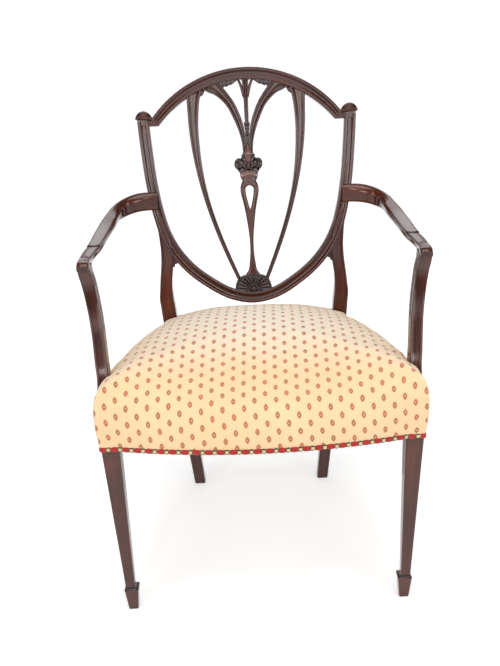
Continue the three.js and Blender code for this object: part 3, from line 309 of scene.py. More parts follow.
class Finish(Nodes):
    # A material of one principled shader
    def __init__(self, name):
        self.material = bpy.data.materials.new(name)
        self.material.use_nodes = True
        super().__init__(self.material.node_tree)
        self.shader = self.add("BsdfPrincipled")
        self.add("OutputMaterial", {0: self.shader})

    def onPiece(self):
        return self.add("UVMap", uv_map="along")

    def onChair(self):
        return self.add("TexCoord", out="Object")

    def surface(self, inputs):
        self.fill(self.shader.made, inputs)

    def bump(self, height, strength, distance):
        # distance in mm
        raised = self.add("Bump", {"Strength": strength, "Distance": distance * mm, "Height": height})
        self.surface({"Normal": raised})


def polishedWood(name, look):
    # Grain follows the piece's own map: long fibres, broad ribbon figure and fine open pores under gloss
    made = Finish(name)
    placed = made.onPiece()
    shadeMask = made.add("Attribute", out="Fac", attribute_name="shadeAndPatina")
    fibres = made.noise(made.stretched(placed, look["fibre"]), 1.0, 5.0, 0.62, 0.25)
    figure = made.noise(made.stretched(placed, look["figure"]), 1.0, 3.0, 0.5, 0.7)
    pores = made.noise(made.stretched(placed, look["pore"]), 1.0, 2.0)
    clouds = made.noise(made.onChair(), look["cloudScale"], 2.0)
    grain = fibres * look["fibreShare"] + figure * (1 - look["fibreShare"])
    colour = made.ramp(grain, list(zip(look["grainStops"], (look[k] for k in ("deep", "middle", "warm", "light")))))
    cloudy = made.ramp(clouds, [(0.35, look["clouded"]), (0.65, (1, 1, 1))])
    dark = made.ramp(pores, [(0.30, look["poreColour"]), (0.44, (1, 1, 1))])
    colour = made.blend(1.0, colour, cloudy, "MULTIPLY")
    colour = made.blend(look["poreDepth"], colour, dark, "MULTIPLY")
    # Painted shade: the vertex mask draws the colour towards near-black in hollows, on backs and undersides and in
    # deep carving, with some polish build-up in the hollows
    colour = made.blend(shadeMask * look["shadeDepth"], colour, look["shadeColour"])
    rough = made.between(fibres, (0.3, 0.7), (look["roughLow"], look["roughHigh"]))
    made.surface({
        "Base Color": colour, "Roughness": rough + shadeMask * look["roughInShade"], "Coat Weight": look["coat"],
        "Coat Roughness": look["coatRoughness"], "IOR": 1.5, "Specular IOR Level": look["specular"],
        "Specular Tint": look["tint"]})
    made.bump(pores * 0.6 + fibres * 0.4, look["bump"], 0.2)
    return made.material


mahoganyLook = dict(
    fibre=(9.0, 420.0, 1.0), figure=(4.0, 60.0, 1.0), pore=(55.0, 1700.0, 1.0), fibreShare=0.55, cloudScale=9.0,
    grainStops=(0.30, 0.47, 0.58, 0.72), clouded=(0.62, 0.60, 0.60), poreColour=(0.55, 0.5, 0.5),
    deep=(0.028, 0.0050, 0.0020), middle=(0.066, 0.0110, 0.0034), warm=(0.100, 0.0180, 0.0056),
    light=(0.150, 0.032, 0.011), shadeColour=(0.004, 0.0022, 0.0020), shadeDepth=0.95, poreDepth=0.3, roughLow=0.14,
    roughHigh=0.24, roughInShade=0.12, specular=0.45, tint=(1.0, 0.92, 0.9), coat=0.35, coatRoughness=0.05, bump=0.1,
)
mahogany = polishedWood("polishedMahogany", mahoganyLook)
# A darker copy of the wood for the carving: painted shade
shadedCarvingMahogany = polishedWood("shadedCarvingMahogany", dict(
    mahoganyLook, deep=(0.010, 0.0045, 0.004), middle=(0.020, 0.008, 0.0065), warm=(0.038, 0.013, 0.010),
    light=(0.07, 0.024, 0.017), roughLow=0.2, roughHigh=0.35, coat=0.5, coatRoughness=0.1))
# A lighter copy of the wood for the urn's collar and bud: painted highlight
highlitMahogany = polishedWood("highlitMahogany", dict(
    mahoganyLook, deep=(0.07, 0.024, 0.016), middle=(0.12, 0.045, 0.032), warm=(0.17, 0.07, 0.05),
    light=(0.24, 0.11, 0.08), coat=0.6))
print("finishes made")

# Moulded member round the shield

member = dict(
    width=24.0, depth=25.0, backRound=4.0, beadWidth=7.0, beadRise=1.3, beadPower=1.85, ridge=1.3, hollowDepth=4.6,
    hollowPower=0.6, jointSpan=172.05,
    sideShares=[[0.189, 0.0385], [0.439, 0.0988], [0.641, 0.174], [0.769, 0.249], [0.85, 0.324], [0.899, 0.401],
                [0.946, 0.516], [0.981, 0.6715], [1, 0.79]],
)


def beadAcross(half, bead, arc):
    # A bead along the edge, across: half a superellipse
    return half - bead / 2 + bead / 2 * np.sign(np.cos(arc)) * np.abs(np.cos(arc)) ** (2 / member["beadPower"])


def wholeSection(back, bead, face, faceShade):
    # Back, bead, face and the mirror images of bead and back, with the painted shade of each point
    x = np.concatenate([back[0], bead[0], face[0], -bead[0][:, ::-1], -back[0][:, ::-1]], 1)
    y = np.concatenate([back[1], bead[1], face[1], bead[1][:, ::-1], back[1][:, ::-1]], 1)
    fade = np.linspace(0.5, 0, bead[0].shape[1])
    dark = np.full(back[0].shape[1], 0.85)
    return (x, y), np.concatenate([dark, fade, faceShade, fade[::-1], dark])


def mouldedSection(widths):
    # Back with rounded corners, then over each edge bead and through a shallow round hollow between them
    half = (np.asarray(widths, float) / 2)[:, None]
    one = np.ones_like(half)
    bead, drop, radius = member["beadWidth"], member["beadRise"], member["backRound"]
    turn = np.linspace(0, math.pi / 2, 5)
    arc = np.linspace(0, math.pi, 13)
    s = np.linspace(1, -1, 15)[1:-1]
    ridge = drop + member["ridge"]
    back = (half - radius * (1 - np.sin(turn)), (-member["depth"] + radius * (1 - np.cos(turn))) * one)
    top = (beadAcross(half, bead, arc), (-drop + drop * np.sin(arc) ** (2 / member["beadPower"])) * one)
    hollow = -ridge - (member["hollowDepth"] - ridge) * (1 - s ** 2) ** member["hollowPower"]
    # Painted shade: a little across the hollow, most along its edges beside the beads
    return wholeSection(back, top, ((half - bead) * s, hollow * one), 0.2 + 0.8 * (np.abs(s) > 0.8))


def memberPath(steps):
    right = [[a * shield["halfSpan"], u * shield["height"]] for a, u in member["sideShares"]]
    left = [[-a, u] for a, u in right[::-1]]
    return alongCurve(left + [[0, member["width"] / 2]] + right, steps)[0]


wholePath = memberPath(401)


def memberPiece(name, path, widths=None):
    section, shade = mouldedSection(np.full(len(path), member["width"]) if widths is None else widths)
    return tube(name, sweepOnShield(path, section), mahogany, pathLengths(path), shade, 60)


joint = int(np.argmax(wholePath[:, 0] > -member["jointSpan"]))
place(memberPiece("shield_bow_moulded", wholePath[joint:len(wholePath) - joint]), "shield_bow")

ear = dict(
    bottomShare=0.7725, innerReach=32.0, outerReach=14.5, domeWidth=36.0, domeRise=19.0, bodyRise=13.0,
    shoulder=15.0, blockFront=-3.4, blockEdge=1.2, capFront=1.6, capEdge=5.0, capCrown=2.5, mouldingWidth=11.2,
)
earBottom = ear["bottomShare"] * shield["height"]
sidePaths = {}
for side in (-1, 1):
    sidePath = (wholePath if side > 0 else wholePath[::-1])[-joint - 1:]
    sidePaths[side] = sidePath[sidePath[:, 1] < earBottom + ear["shoulder"]]
print("shield member made")

# Crest rail: arch, ears, drapery and brackets

crest = dict(endInset=25.0, endRise=6.5, centreWidth=25.0, endWidth=20.0)
crestTop = shield["height"] - crest["centreWidth"] / 2
crestEnd = shield["halfSpan"] - crest["endInset"]
crestFall = crestTop - earBottom - crest["endRise"]
crestRadius = (crestEnd ** 2 + crestFall ** 2) / (2 * crestFall)


def crestUpAt(across):
    return crestTop - crestRadius + np.sqrt(crestRadius ** 2 - np.asarray(across, float) ** 2)


def underCrest(across):
    # Height up the shield at which ribs and carving end, within the crest's lower bead
    return crestUpAt(np.clip(across, -crestEnd, crestEnd)) - crest["endWidth"] / 2 + 2


turns = np.linspace(-1, 1, 181) * math.asin(crestEnd / crestRadius)
archPath = np.stack([crestRadius * np.sin(turns), crestTop - crestRadius * (1 - np.cos(turns))], 1)
archWidths = crest["centreWidth"] + (crest["endWidth"] - crest["centreWidth"]) * np.linspace(-1, 1, 181) ** 2
place(memberPiece("crest_arch_moulded", archPath, archWidths), "crest_rail")


def plateOnShield(name, outline, front, depth, edge, material, crown=0.0, rings=5):
    # Sawn plate: the closed outline drawn in towards its middle over a quarter-round edge, its face crowned, its
    # back flat; the map lies flat over it, along being up the shield
    outline = np.asarray(outline, float)
    middle = outline.mean(0)
    ahead = np.roll(outline, -1, 0) - np.roll(outline, 1, 0)
    ahead /= np.linalg.norm(ahead, axis=1)[:, None]
    following = np.roll(outline, -1, 0)
    area = 0.5 * np.sum(outline[:, 0] * following[:, 1] - following[:, 0] * outline[:, 1])
    inward = np.stack([-ahead[:, 1], ahead[:, 0]], 1) * np.sign(area)
    # Painted shade: dark at the back, fading over the rounded edge, none on the face
    layers = [(outline, front - depth, 0.7)]
    for t in np.linspace(0, math.pi / 2, rings):
        fall = 1 - math.sin(t)
        layers.append((outline + inward * edge * (1 - math.cos(t)), front - edge * fall, 0.35 * fall))
    flat = layers[-1][0]
    for share in (0.25, 0.5, 0.75, 0.92):
        layers.append((flat + (middle - flat) * share, front + crown * (1 - (1 - share) ** 2), 0))
    points = np.stack([onShield(line[:, 0], line[:, 1], level) for line, level, _ in layers])
    shadeAndPatina = np.array([[shade] for _, _, shade in layers], float)
    return flatMap(tube(name, points, material, np.zeros(len(points)), shadeAndPatina, 40))


def flatMap(piece):
    layMap(piece.data, meshPlaces(piece.data)[:, [2, 0]])
    return piece


earSpan = shield["halfSpan"] + ear["outerReach"]
earInner, shoulderUp = shield["halfSpan"] - ear["innerReach"], earBottom + ear["shoulder"]
for sideName, side in sides:
    block = [[earInner, earBottom], [shield["halfSpan"] - 12, earBottom], [earSpan - 4, earBottom],
             [earSpan - 2, shoulderUp], [earSpan - 12, shoulderUp + 5], [earSpan - 24, shoulderUp + 6],
             [earInner + crest["endWidth"] / 2 - 3, earBottom + ear["bodyRise"] + 2]]
    place(plateOnShield(f"{sideName}_ear_block", np.array(block) * [side, 1], ear["blockFront"],
                        member["depth"] + ear["blockFront"], ear["blockEdge"], mahogany))
    t = np.linspace(0, math.pi, 26)
    dome = np.stack([earSpan + 1 - ear["domeWidth"] / 2 * (1 - np.cos(t)),
                     shoulderUp - 1 - 3 * t / math.pi + ear["domeRise"] * np.sin(t)], 1)
    place(plateOnShield(f"{sideName}_ear_dome", dome * [side, 1], ear["capFront"],
                        member["depth"] + ear["capFront"], ear["capEdge"], mahogany, ear["capCrown"], 8))
    across = side * np.linspace(earInner + 2, shield["halfSpan"] - 9, 12)
    lower = np.stack([across, np.full(12, earBottom + ear["mouldingWidth"] / 2)], 1)
    place(memberPiece(f"{sideName}_ear_moulding", lower, np.full(12, ear["mouldingWidth"])))
print("crest made")

# Ribs of the back

rib = dict(
    front=-2.5, depth=15.5, outerSpan=115.0, outerWidth=24.0, innerSpan=66.0, innerWidth=20.0, centreWidth=12.0,
    outerShares=[[0.985, 0.87, 1.12], [0.996, 0.82, 0.97], [1, 0.771, 0.875], [0.976, 0.672, 0.73],
                 [0.907, 0.553, 0.555], [0.791, 0.435, 0.44], [0.63, 0.316, 0.4], [0.435, 0.198, 0.375],
                 [0.262, 0.103, 0.34]],
    innerShares=[[0.091, 0.64, 0.44], [0.116, 0.692, 0.49], [0.165, 0.731, 0.6], [0.246, 0.771, 0.75],
                 [0.36, 0.81, 0.83], [0.508, 0.85, 0.88], [0.735, 0.889, 1.02], [0.92, 0.913, 1.25],
                 [1.08, 0.93, 1.65], [1.2, 0.945, 2.0]],
    centreShares=[[0, 0.65, 0.9], [0, 0.695, 0.8], [0, 0.731, 0.68], [0, 0.771, 0.72], [0, 0.83, 0.78],
                  [0, 0.889, 0.86], [0, 0.919, 0.98], [0, 0.945, 1.2], [0, 0.962, 1.5]],
    beadShare=0.3, beadMost=4.4, beadRise=0.19, hollow=1.3, shadeUp=392.0, shadeSpan=20.0, shadeMost=0.75,
    topShare=0.955, topDrop=4.6, topWidth=30.0,
)
urn = dict(
    collarUp=281.5, lobe=(20.0, 303.5), lobeRadii=(11.0, 13.0, 10.5),
    # the right half of the collar's outline and of the core's, from the foot up
    collar=[(18.6, -7), (19.2, -5), (19.4, 0), (20.4, 4.5), (20.6, 7)],
    core=[(17, 270), (19, 289), (24, 297), (24, 309), (15, 318), (11, 330), (9, 350)],
    # base, tip, bend, width, thickness, forward of each leaf on the right
    leaves=[((7, 291), (19, 297), -3, 8, 5.5, -3.0), ((6, 298), (15, 324), 3, 10, 8.0, -5.0),
            ((12, 294), (21, 314), 3, 9, 7.0, -4.0), ((11, 289), (24, 293), -3, 7, 6.0, -3.5),
            ((3, 304), (9.5, 330), 2, 8.5, 8.5, -5.0), ((2, 291), (9, 307), -3, 7, 6.0, -3.2)],
)


def ribSection(widths):
    # Flat back, straight sides, a small bead along each front edge and a faintly hollow face between them
    half = (widths / 2)[:, None]
    bead = np.minimum(rib["beadShare"] * widths, rib["beadMost"])[:, None]
    one = np.ones_like(half)
    arc = np.linspace(0, math.pi, 9)
    s = np.linspace(1, -1, 9)[1:-1]
    rise, front = bead * rib["beadRise"], rib["front"]
    back = (half * one - np.array([0.8, 0.25, 0.0]), (front - rib["depth"] + np.array([0.0, 0.25, 0.9])) * one)
    top = (beadAcross(half, bead, arc), front + rise * (np.sin(arc) ** (2 / member["beadPower"]) - 1))
    hollow = front - rise - 0.6 - rib["hollow"] * (1 - s ** 2) * np.minimum(1, half / 6)
    # Painted shade: dark back and sides, a little across the face, most along its edges beside the beads
    return wholeSection(back, top, ((half - bead) * s, hollow), 0.2 + 0.7 * (np.abs(s) > 0.7))


def ribPiece(name, stations, steps=120):
    path, _ = alongCurve(stations, steps)
    section, shade = ribSection(path[:, 2])
    # Painted shade on the ribs' lower ends near the middle, between the collar and the husk, which sets off the bud
    low = smoothStep((rib["shadeUp"] - path[:, 1]) / 25) * smoothStep((path[:, 1] - urn["collarUp"]) / 10)
    low = rib["shadeMost"] * low * (np.abs(path[:, 0]) < rib["shadeSpan"])
    rings = sweepOnShield(path[:, :2], section, underCrest)
    return tube(name, rings, mahogany, pathLengths(path[:, :2]), np.maximum(shade, low[:, None]), 60)


def stations(shares, span, width, side=1):
    return [[side * a * span, u * shield["height"], w * width] for a, u, w in shares]


topSpan = rib["topShare"] * rib["outerSpan"]
for sideName, side in sides:
    top = [side * topSpan, float(crestUpAt(topSpan)) - rib["topDrop"], rib["topWidth"]]
    outer = [top] + stations(rib["outerShares"], rib["outerSpan"], rib["outerWidth"], side)
    place(ribPiece(f"{sideName}_outer_rib_moulded", outer, 160), f"{sideName}_outer_rib")
    inner = stations(rib["innerShares"], rib["innerSpan"], rib["innerWidth"], side)
    place(ribPiece(f"{sideName}_inner_rib_moulded", inner))
place(ribPiece("centre_rib_moulded", stations(rib["centreShares"], rib["innerSpan"], rib["centreWidth"])))
print("ribs made")

# Vase of the splat, pierced by a drop-shaped loop

vase = dict(
    halfWidth=20.0, loopHalfWidth=8.7, edge=6.5, roll=0.75,
    shares=[[0.85, 0.112], [0.8, 0.1225], [0.5, 0.142], [0.33, 0.178], [0.21, 0.225], [0.2, 0.252], [0.25, 0.296],
            [0.36, 0.336], [0.56, 0.395], [0.8, 0.445], [0.96, 0.474], [1, 0.494],
            [0.92, 0.512], [0.74, 0.53], [0.7, 0.548]],
    loopShares=[[0, 0.407], [0.2, 0.416], [0.5, 0.437], [0.78, 0.458], [0.97, 0.482], [0.9, 0.5], [0, 0.509]],
)


def vasePiece():
    # Half of the plate is a grid of rows up the vase by columns from the loop (or the middle) out to the edge and
    # round the back; the other half is its mirror image, and the wall of the loop joins front to back
    height = shield["height"]
    outlineCurve = alongCurve([[a * vase["halfWidth"], u * height] for a, u in vase["shares"]], 400)[0]
    loopCurve = alongCurve([[a * vase["loopHalfWidth"], u * height] for a, u in vase["loopShares"]], 400)[0]
    low, high = loopCurve[0, 1], loopCurve[-1, 1]
    inLoop = low + (high - low) * (1 - np.cos(np.linspace(0, math.pi, 61))) / 2
    rows = np.concatenate([np.linspace(outlineCurve[0, 1], low, 90)[:-1], inLoop,
                           np.linspace(high, outlineCurve[-1, 1], 12)[1:]])
    order = np.argsort(outlineCurve[:, 1])
    wide = np.interp(rows, outlineCurve[order, 1], outlineCurve[order, 0])
    gap = np.where((rows > low) & (rows < high), np.interp(rows, loopCurve[:, 1], np.abs(loopCurve[:, 0])), 0.0)
    u = (1 - np.cos(np.linspace(0, math.pi, 15))) / 2
    x = gap[:, None] + (wide - gap)[:, None] * u
    radius = np.minimum(vase["edge"], 0.46 * (wide - gap))[:, None]
    near = np.clip((wide[:, None] - x) / radius, 0, 1)
    far = np.clip((x - gap[:, None]) / radius, 0, 1)
    active = smoothStep(gap / 2.5)[:, None]
    fall = radius * vase["roll"] * (1 - np.sqrt(1 - (1 - near) ** 2))
    fall = fall + active * radius * vase["roll"] * (1 - np.sqrt(1 - (1 - far) ** 2))
    front = rib["front"] - fall
    back = rib["front"] - rib["depth"]
    wallX = wide[:, None] * np.ones(3)
    wallY = front[:, -1:] + (back - front[:, -1:]) * np.array([0.33, 0.66, 1.0])
    backX = x[:, ::-1][:, 1:]
    backY = np.full_like(backX, back)
    gridX = np.concatenate([x, wallX, backX], 1)
    gridY = np.concatenate([front, wallY, backY], 1)
    up = rows[:, None] * np.ones_like(gridX)
    columns = gridX.shape[1]
    holes = np.where(gap > 0)[0]
    span = np.arange(holes[0] - 1, holes[-1] + 2)
    wallShare = np.linspace(0, 1, 5)
    loopX = gridX[span, :1] * np.ones(5)
    loopY = gridY[span, :1] + (gridY[span, -1:] - gridY[span, :1]) * wallShare
    loopUp = up[span, :1] * np.ones(5)
    points, faces, maps, shades, count = [], [], [], [], 0
    for side in (-1, 1):
        for gx, gy, gu in ((gridX, gridY, up), (loopX, loopY, loopUp)):
            grid = onShield(side * gx, gu, gy)
            points.append(grid.reshape(-1, 3))
            faces += gridFaces(*gx.shape, False, count)
            maps.append(np.stack([gu.ravel(), (side * gx + gy).ravel()], 1))
            # Painted shade, deepening from the rolled edges towards the back
            shades.append(np.clip((rib["front"] - 3 - gy) / 6, 0, 0.6).ravel())
            count += gx.size
    ends = []
    for row in (0, len(rows) - 1):
        for k in range(columns // 2):
            for side in (0, 1):
                base = side * (gridX.size + loopX.size) + row * columns
                ends.append((base + k, base + k + 1, base + columns - 2 - k, base + columns - 1 - k))
    faces += [f for f in ends if len(set(f)) == 4]
    return finishMesh("vase_splat_pierced", np.vstack(points), faces, mahogany, np.vstack(maps),
                      np.concatenate(shades), 60, weld=0.01)


place(vasePiece(), "centre_splat")

# Carving: petals, fluted balls and scrolls


def petalPoints(side, base, tip, bend, width, thick, forward, groove=0.3, rows=14, columns=14, full=0.7,
                ceiling=None):
    # A leaf from base to tip, given for the right side, its middle line bent sideways; width follows
    # sin(pi t) to the power full, the face has a middle groove
    base, tip = np.array(base, float) * [side, 1], np.array(tip, float) * [side, 1]
    t = (1 - np.cos(np.linspace(0.02, 0.98, rows) * math.pi)) / 2
    ahead = tip - base
    across = np.array([-ahead[1], ahead[0]]) / np.linalg.norm(ahead)
    middle = base + t[:, None] * ahead + across * (side * bend * np.sin(math.pi * t))[:, None]
    half = width / 2 * np.sin(math.pi * t ** 0.8) ** full
    line = np.gradient(middle, axis=0)
    line /= np.linalg.norm(line, axis=1)[:, None]
    normal = np.stack([-line[:, 1], line[:, 0]], 1)
    a = np.linspace(0, 2 * math.pi, columns, endpoint=False)
    x = np.cos(a)
    face = np.abs(np.sin(a)) ** 0.8 * (1 - groove * np.exp(-(x / 0.28) ** 2))
    rise = np.where(np.sin(a) > 0, face, np.sin(a) * 0.8)
    lift = np.sin(math.pi * t) ** 0.5
    across, up = (middle[:, k:k + 1] + normal[:, k:k + 1] * half[:, None] * x for k in (0, 1))
    if ceiling is not None:
        up = np.minimum(up, ceiling(across))
    return onShield(across, up, forward + thick * rise * lift[:, None])


def ballPoints(middle, radii, forward, flutes, depth, rows=18, columns=40, lean=0.0):
    # A ball whose radius dips at evenly spaced meridians, its poles up and down the shield
    a = np.linspace(0.04, math.pi - 0.04, rows)[:, None]
    b = np.linspace(0, 2 * math.pi, columns, endpoint=False)
    r = 1 - depth * (0.5 + 0.5 * np.cos(flutes * b + 0.5)) ** 2 * np.sin(a)
    x, y, z = r * np.sin(a) * np.cos(b), np.cos(a) * np.ones_like(b), r * np.sin(a) * np.sin(b)
    return onShield(middle[0] + radii[0] * (x * math.cos(lean) - y * math.sin(lean)),
                    middle[1] + radii[1] * (x * math.sin(lean) + y * math.cos(lean)), forward + radii[2] * z)


def scrollPoints(side, middle, radius, thick, forward, wound, rows=46, columns=10):
    # A tube wound in a flat spiral that tightens towards its eye; wound is the way it turns on the right
    t = np.linspace(0, 1, rows)
    a = math.pi / 2 + side * wound * 2 * math.pi * bracket["turns"] * t
    r = radius * (1 - bracket["tighten"] * t)
    out = np.stack([np.cos(a), np.sin(a)], 1)
    centre = np.array(middle) * [side, 1] + out * r[:, None]
    b = np.linspace(0, 2 * math.pi, columns, endpoint=False)
    thickness = thick * (1 - bracket["thin"] * t)[:, None]
    across, up = (centre[:, k:k + 1] + out[:, k:k + 1] * thickness * np.cos(b) for k in (0, 1))
    return onShield(across, up, forward + 1.5 * thickness * np.sin(b))


def carving(name, bodies, material):
    # Several closed carved forms kept in one piece, each with painted shade, darkest where it lies deepest
    points, faces, maps, shades, count = [], [], [], [], 0
    for rings in bodies:
        bodyPoints, bodyFaces = skinned(rings, count)
        points.append(bodyPoints)
        faces += bodyFaces
        up = rings[..., 2].ravel()
        across = np.concatenate([rings[..., 0].ravel(), [0, 0]])
        maps.append(np.stack([np.concatenate([up, up[:1], up[-1:]]), across], 1))
        depth = rings[..., 1] - rings[..., 1].min()
        shades.append(np.concatenate([(0.9 * smoothStep(depth / max(1e-6, depth.max()))).ravel(), [0.6, 0.6]]))
        count += len(bodyPoints)
    return finishMesh(name, np.vstack(points), faces, material, np.vstack(maps), np.concatenate(shades))


def bothHalves(right, top=(), bottom=()):
    # Closed outline: the left half from the foot up, the top, the right half down, the bottom
    return [[-x, y] for x, y in right] + [[x, y] for x, y in list(top) + right[::-1] + list(bottom)]


collarLine = bothHalves(urn["collar"], [(x, 7) for x in (-10, 0, 10)], [(x, -7) for x in (9, 0, -9)])
collarLine = [[x, urn["collarUp"] + y] for x, y in collarLine]
place(plateOnShield("urn_collar", collarLine, -1.2, 17.0, 1.6, highlitMahogany, crown=0.5))
core = bothHalves(urn["core"])
coreLine = alongCurve(core + core[:1], 80)[0][:-1]
place(plateOnShield("urn_core", coreLine, -9.0, 9.0, 2.0, shadedCarvingMahogany))
urnBodies = []
for side in (-1, 1):
    lobe = np.array(urn["lobe"]) * [side, 1]
    urnBodies.append(ballPoints(lobe, urn["lobeRadii"], -8.5, 7, 0.26, lean=side * -0.25))
    urnBodies += [petalPoints(side, *leaf) for leaf in urn["leaves"]]
urnBodies.append(ballPoints([0, 303], [12, 14, 9], -9.0, 9, 0.16))
urnBodies.append(petalPoints(1, (0, 308), (0, 290), 0, 9, 6.5, -3.0, groove=0.15))
place(carving("urn_carved_leaves", urnBodies, shadedCarvingMahogany))
bud = petalPoints(1, (0, 303), (0, 348), 0, 17.0, 11.0, -4.0, groove=0.0, rows=24, columns=24, full=0.9)
place(carving("urn_bud", [bud], highlitMahogany))
husk = [petalPoints(side, (1.5, 368), (6.5, 392), 2.0, 7.0, 5.0, -3.0) for side in (-1, 1)]
husk += [petalPoints(1, (0, 362), (0, 386), 0, 7.5, 6.0, -3.0)]
prong = dict(groove=0.0, full=0.35, rows=24, ceiling=underCrest)
prongs = [petalPoints(side, (4.5, 442), (20.5, 490), 3.2, 6.4, 4.5, -3.8, **prong) for side in (-1, 1)]
place(carving("husk_carved", husk, shadedCarvingMahogany))
place(carving("centre_rib_prongs", prongs, mahogany))

# base, tip, bend and width of each fold of the drapery on the right
folds = (((19, 483), (33, 470), 1.5, 10), ((26, 482), (42, 466.5), 2.5, 12), ((35, 481), (50, 464.5), 2.5, 12),
         ((45, 480), (56, 466), 1.5, 10), ((17, 484), (25, 475), 1.0, 8))
drapes = [petalPoints(side, *fold, 5.0, -5.0, groove=0.35, full=0.5, ceiling=underCrest)
          for side in (-1, 1) for fold in folds]
place(carving("crest_drapery", drapes, shadedCarvingMahogany))

bracket = dict(turns=1.35, tighten=0.72, thin=0.35)
scrolls = []
for side in (-1, 1):
    scrolls += [
        scrollPoints(side, (97.0, 456), 5.0, 3.0, -8.5, 1),
        petalPoints(side, (103, 449), (88, 466), 2, 9, 5.0, -9.0, groove=0.2, ceiling=underCrest),
        scrollPoints(side, (169.0, 98), 4.0, 2.8, -10.0, -1),
        petalPoints(side, (174, 86), (172, 116), -3, 11, 6.0, -12.0, groove=0.2)]
place(carving("scroll_brackets", scrolls, shadedCarvingMahogany))
print("splat and carving made")

# Lunette: rim, flutes and boss

lunette = dict(
    halfWidth=41.0, rise=43.0, foot=20.24, front=-0.6, depth=19.0, power=3.0, bossUp=31.0, bossRadius=6.2,
    bossRise=5.0, rimRise=1.9, flutes=11, fluteDepth=2.2,
)


def lunettePiece():
    # Polar grid about the boss: each ray runs out to a superellipse; the face lifts into boss, fluted shell and rim
    a = np.linspace(0, math.pi, 141)
    power = 2 / lunette["power"]
    arcX = lunette["halfWidth"] * np.sign(np.cos(a)) * np.abs(np.cos(a)) ** power
    arcY = lunette["foot"] + lunette["rise"] * np.sin(a) ** power
    base = np.linspace(-lunette["halfWidth"], lunette["halfWidth"], 50)[1:-1]
    arc = np.stack([arcX, arcY], 1)
    closed = np.vstack([arc, np.stack([base, np.full(48, lunette["foot"])], 1), arc[:1]])
    run = pathLengths(closed)
    even = np.linspace(0, run[-1], 260, endpoint=False)
    outline = np.stack([np.interp(even, run, closed[:, j]) for j in (0, 1)], 1)
    boss = np.array([0, lunette["bossUp"]])
    reach = np.linalg.norm(outline - boss, axis=1)
    angle = np.arctan2(outline[:, 1] - boss[1], outline[:, 0])
    rho = [np.linspace(0.03, 0.3, 12), np.linspace(0.32, 0.86, 22), np.linspace(0.88, 1, 12)]
    rho = np.concatenate(rho)[:, None]
    x, up = (boss[k] + (outline[:, k] - boss[k]) * rho for k in (0, 1))
    r = reach * rho
    shell = smoothStep((r - 9) / 3) * smoothStep((0.88 - rho) / 0.07)
    ridges = np.abs(np.sin(lunette["flutes"] * angle)) ** 0.7
    face = lunette["front"] - 1.6 - lunette["fluteDepth"] * shell * (1 - ridges) + 1.2 * shell
    face = face + lunette["bossRise"] * np.sqrt(np.clip(1 - (r / lunette["bossRadius"]) ** 2, 0, 1))
    face = face + 1.6 * np.exp(-((r - 8.6) / 1.1) ** 2)
    face = face + lunette["rimRise"] * np.sqrt(np.clip(1 - ((rho - 0.94) / 0.055) ** 2, 0, 1))
    face = face - 1.2 * smoothStep((rho - 0.97) / 0.03)
    rings = list(onShield(x, up, face))
    for level in (-6.0, -12.0, lunette["front"] - lunette["depth"]):
        rings.append(onShield(outline[:, 0], outline[:, 1], level))
    # Painted shade in the flutes' hollows, in a ring round the boss and in a groove inside the rim; the sides are
    # dark
    shade = 0.75 * shell * (1 - ridges) + 0.9 * np.exp(-((r - 7.2) / 0.8) ** 2)
    shade = np.clip(shade + 0.8 * np.exp(-((rho - 0.875) / 0.02) ** 2), 0, 1)
    shade = np.vstack([shade, np.full((3, len(outline)), 0.8)])
    return flatMap(tube("lunette_fluted", np.stack(rings), shadedCarvingMahogany, np.zeros(len(rings)), shade, 65))


place(lunettePiece(), "lunette")
print("lunette made")

# Back legs

backLeg = dict(
    footSpan=149.3, footDepth=249.0, rakeShare=0.103, softness=5.0, width=33.0, footWidthShare=0.775,
    thickness=33.0, footThicknessShare=0.82, span=192.0, setback=3.5, round=2.8,
    stileShares=[[0, 1, 0.955], [0.04, 1.01, 0.925], [0.079, 1.008, 0.83], [0.119, 1.001, 0.8],
                 [0.158, 0.988, 0.81], [0.198, 0.98, 0.79], [0.237, 0.978, 0.77], [0.277, 0.986, 0.74],
                 [0.316, 0.998, 0.7], [0.356, 1.017, 0.66], [0.395, 1.037, 0.62]],
)


def backLegFront(height, across):
    # Front face: the raking line below and the leaning line above meet in a soft knee
    below = backLeg["footDepth"] - backLeg["rakeShare"] * height
    above = (shield["footDepth"] - across ** 2 / (2 * shield["planRadius"]) + backLeg["setback"]
             + (height - shield["footHeight"]) * math.tan(rake))
    return (below + above) / 2 + np.hypot((below - above) / 2, backLeg["softness"]) + shift


def upright(x, y, across, depth, heights):
    # Rings of level sections (x, y) whose middles are at across and depth
    return np.stack([across[:, None] + x, depth[:, None] + y, heights[:, None] * np.ones_like(x)], -1)


def backLegPiece(name, side):
    foot = np.array([0, backLeg["footSpan"], backLeg["footWidthShare"], backLeg["footThicknessShare"]])
    knee = np.array([shield["footHeight"], backLeg["span"], 1, 1])
    rows = [(foot + (knee - foot) * k / 6).tolist() for k in range(6)]
    for up, across, wide in backLeg["stileShares"]:
        rows.append([shield["footHeight"] + up * shield["height"] * math.cos(rake), across * backLeg["span"],
                     wide, 1 - up])
    heights = np.concatenate([[0, 1.0, 3.0], np.linspace(8, rows[-1][0], 150)])
    across, wide, thick = through(rows, heights).T
    easing = np.where(heights < 2.0, 1.6 * (1 - heights / 2.0), 0)
    width, thickness = backLeg["width"] * wide - 2 * easing, backLeg["thickness"] * thick - 2 * easing
    radius = np.minimum(backLeg["round"], width / 2 - 0.5)
    x, y = roundedSection(width, thickness, radius)
    front = backLegFront(heights, across) + easing
    rings = upright(x, y, side * across, front + thickness / 2, heights)
    # Darker towards the foot
    shade = np.broadcast_to(0.55 * smoothStep((18 - heights) / 18)[:, None], x.shape)
    return tube(name, rings, mahogany, heights, shade)


for sideName, side in sides:
    place(backLegPiece(f"{sideName}_back_leg_shaped", side), f"{sideName}_back_leg")
    place(memberPiece(f"{sideName}_shield_side_moulded", sidePaths[side]))
print("back legs made")

# Arms and their supports

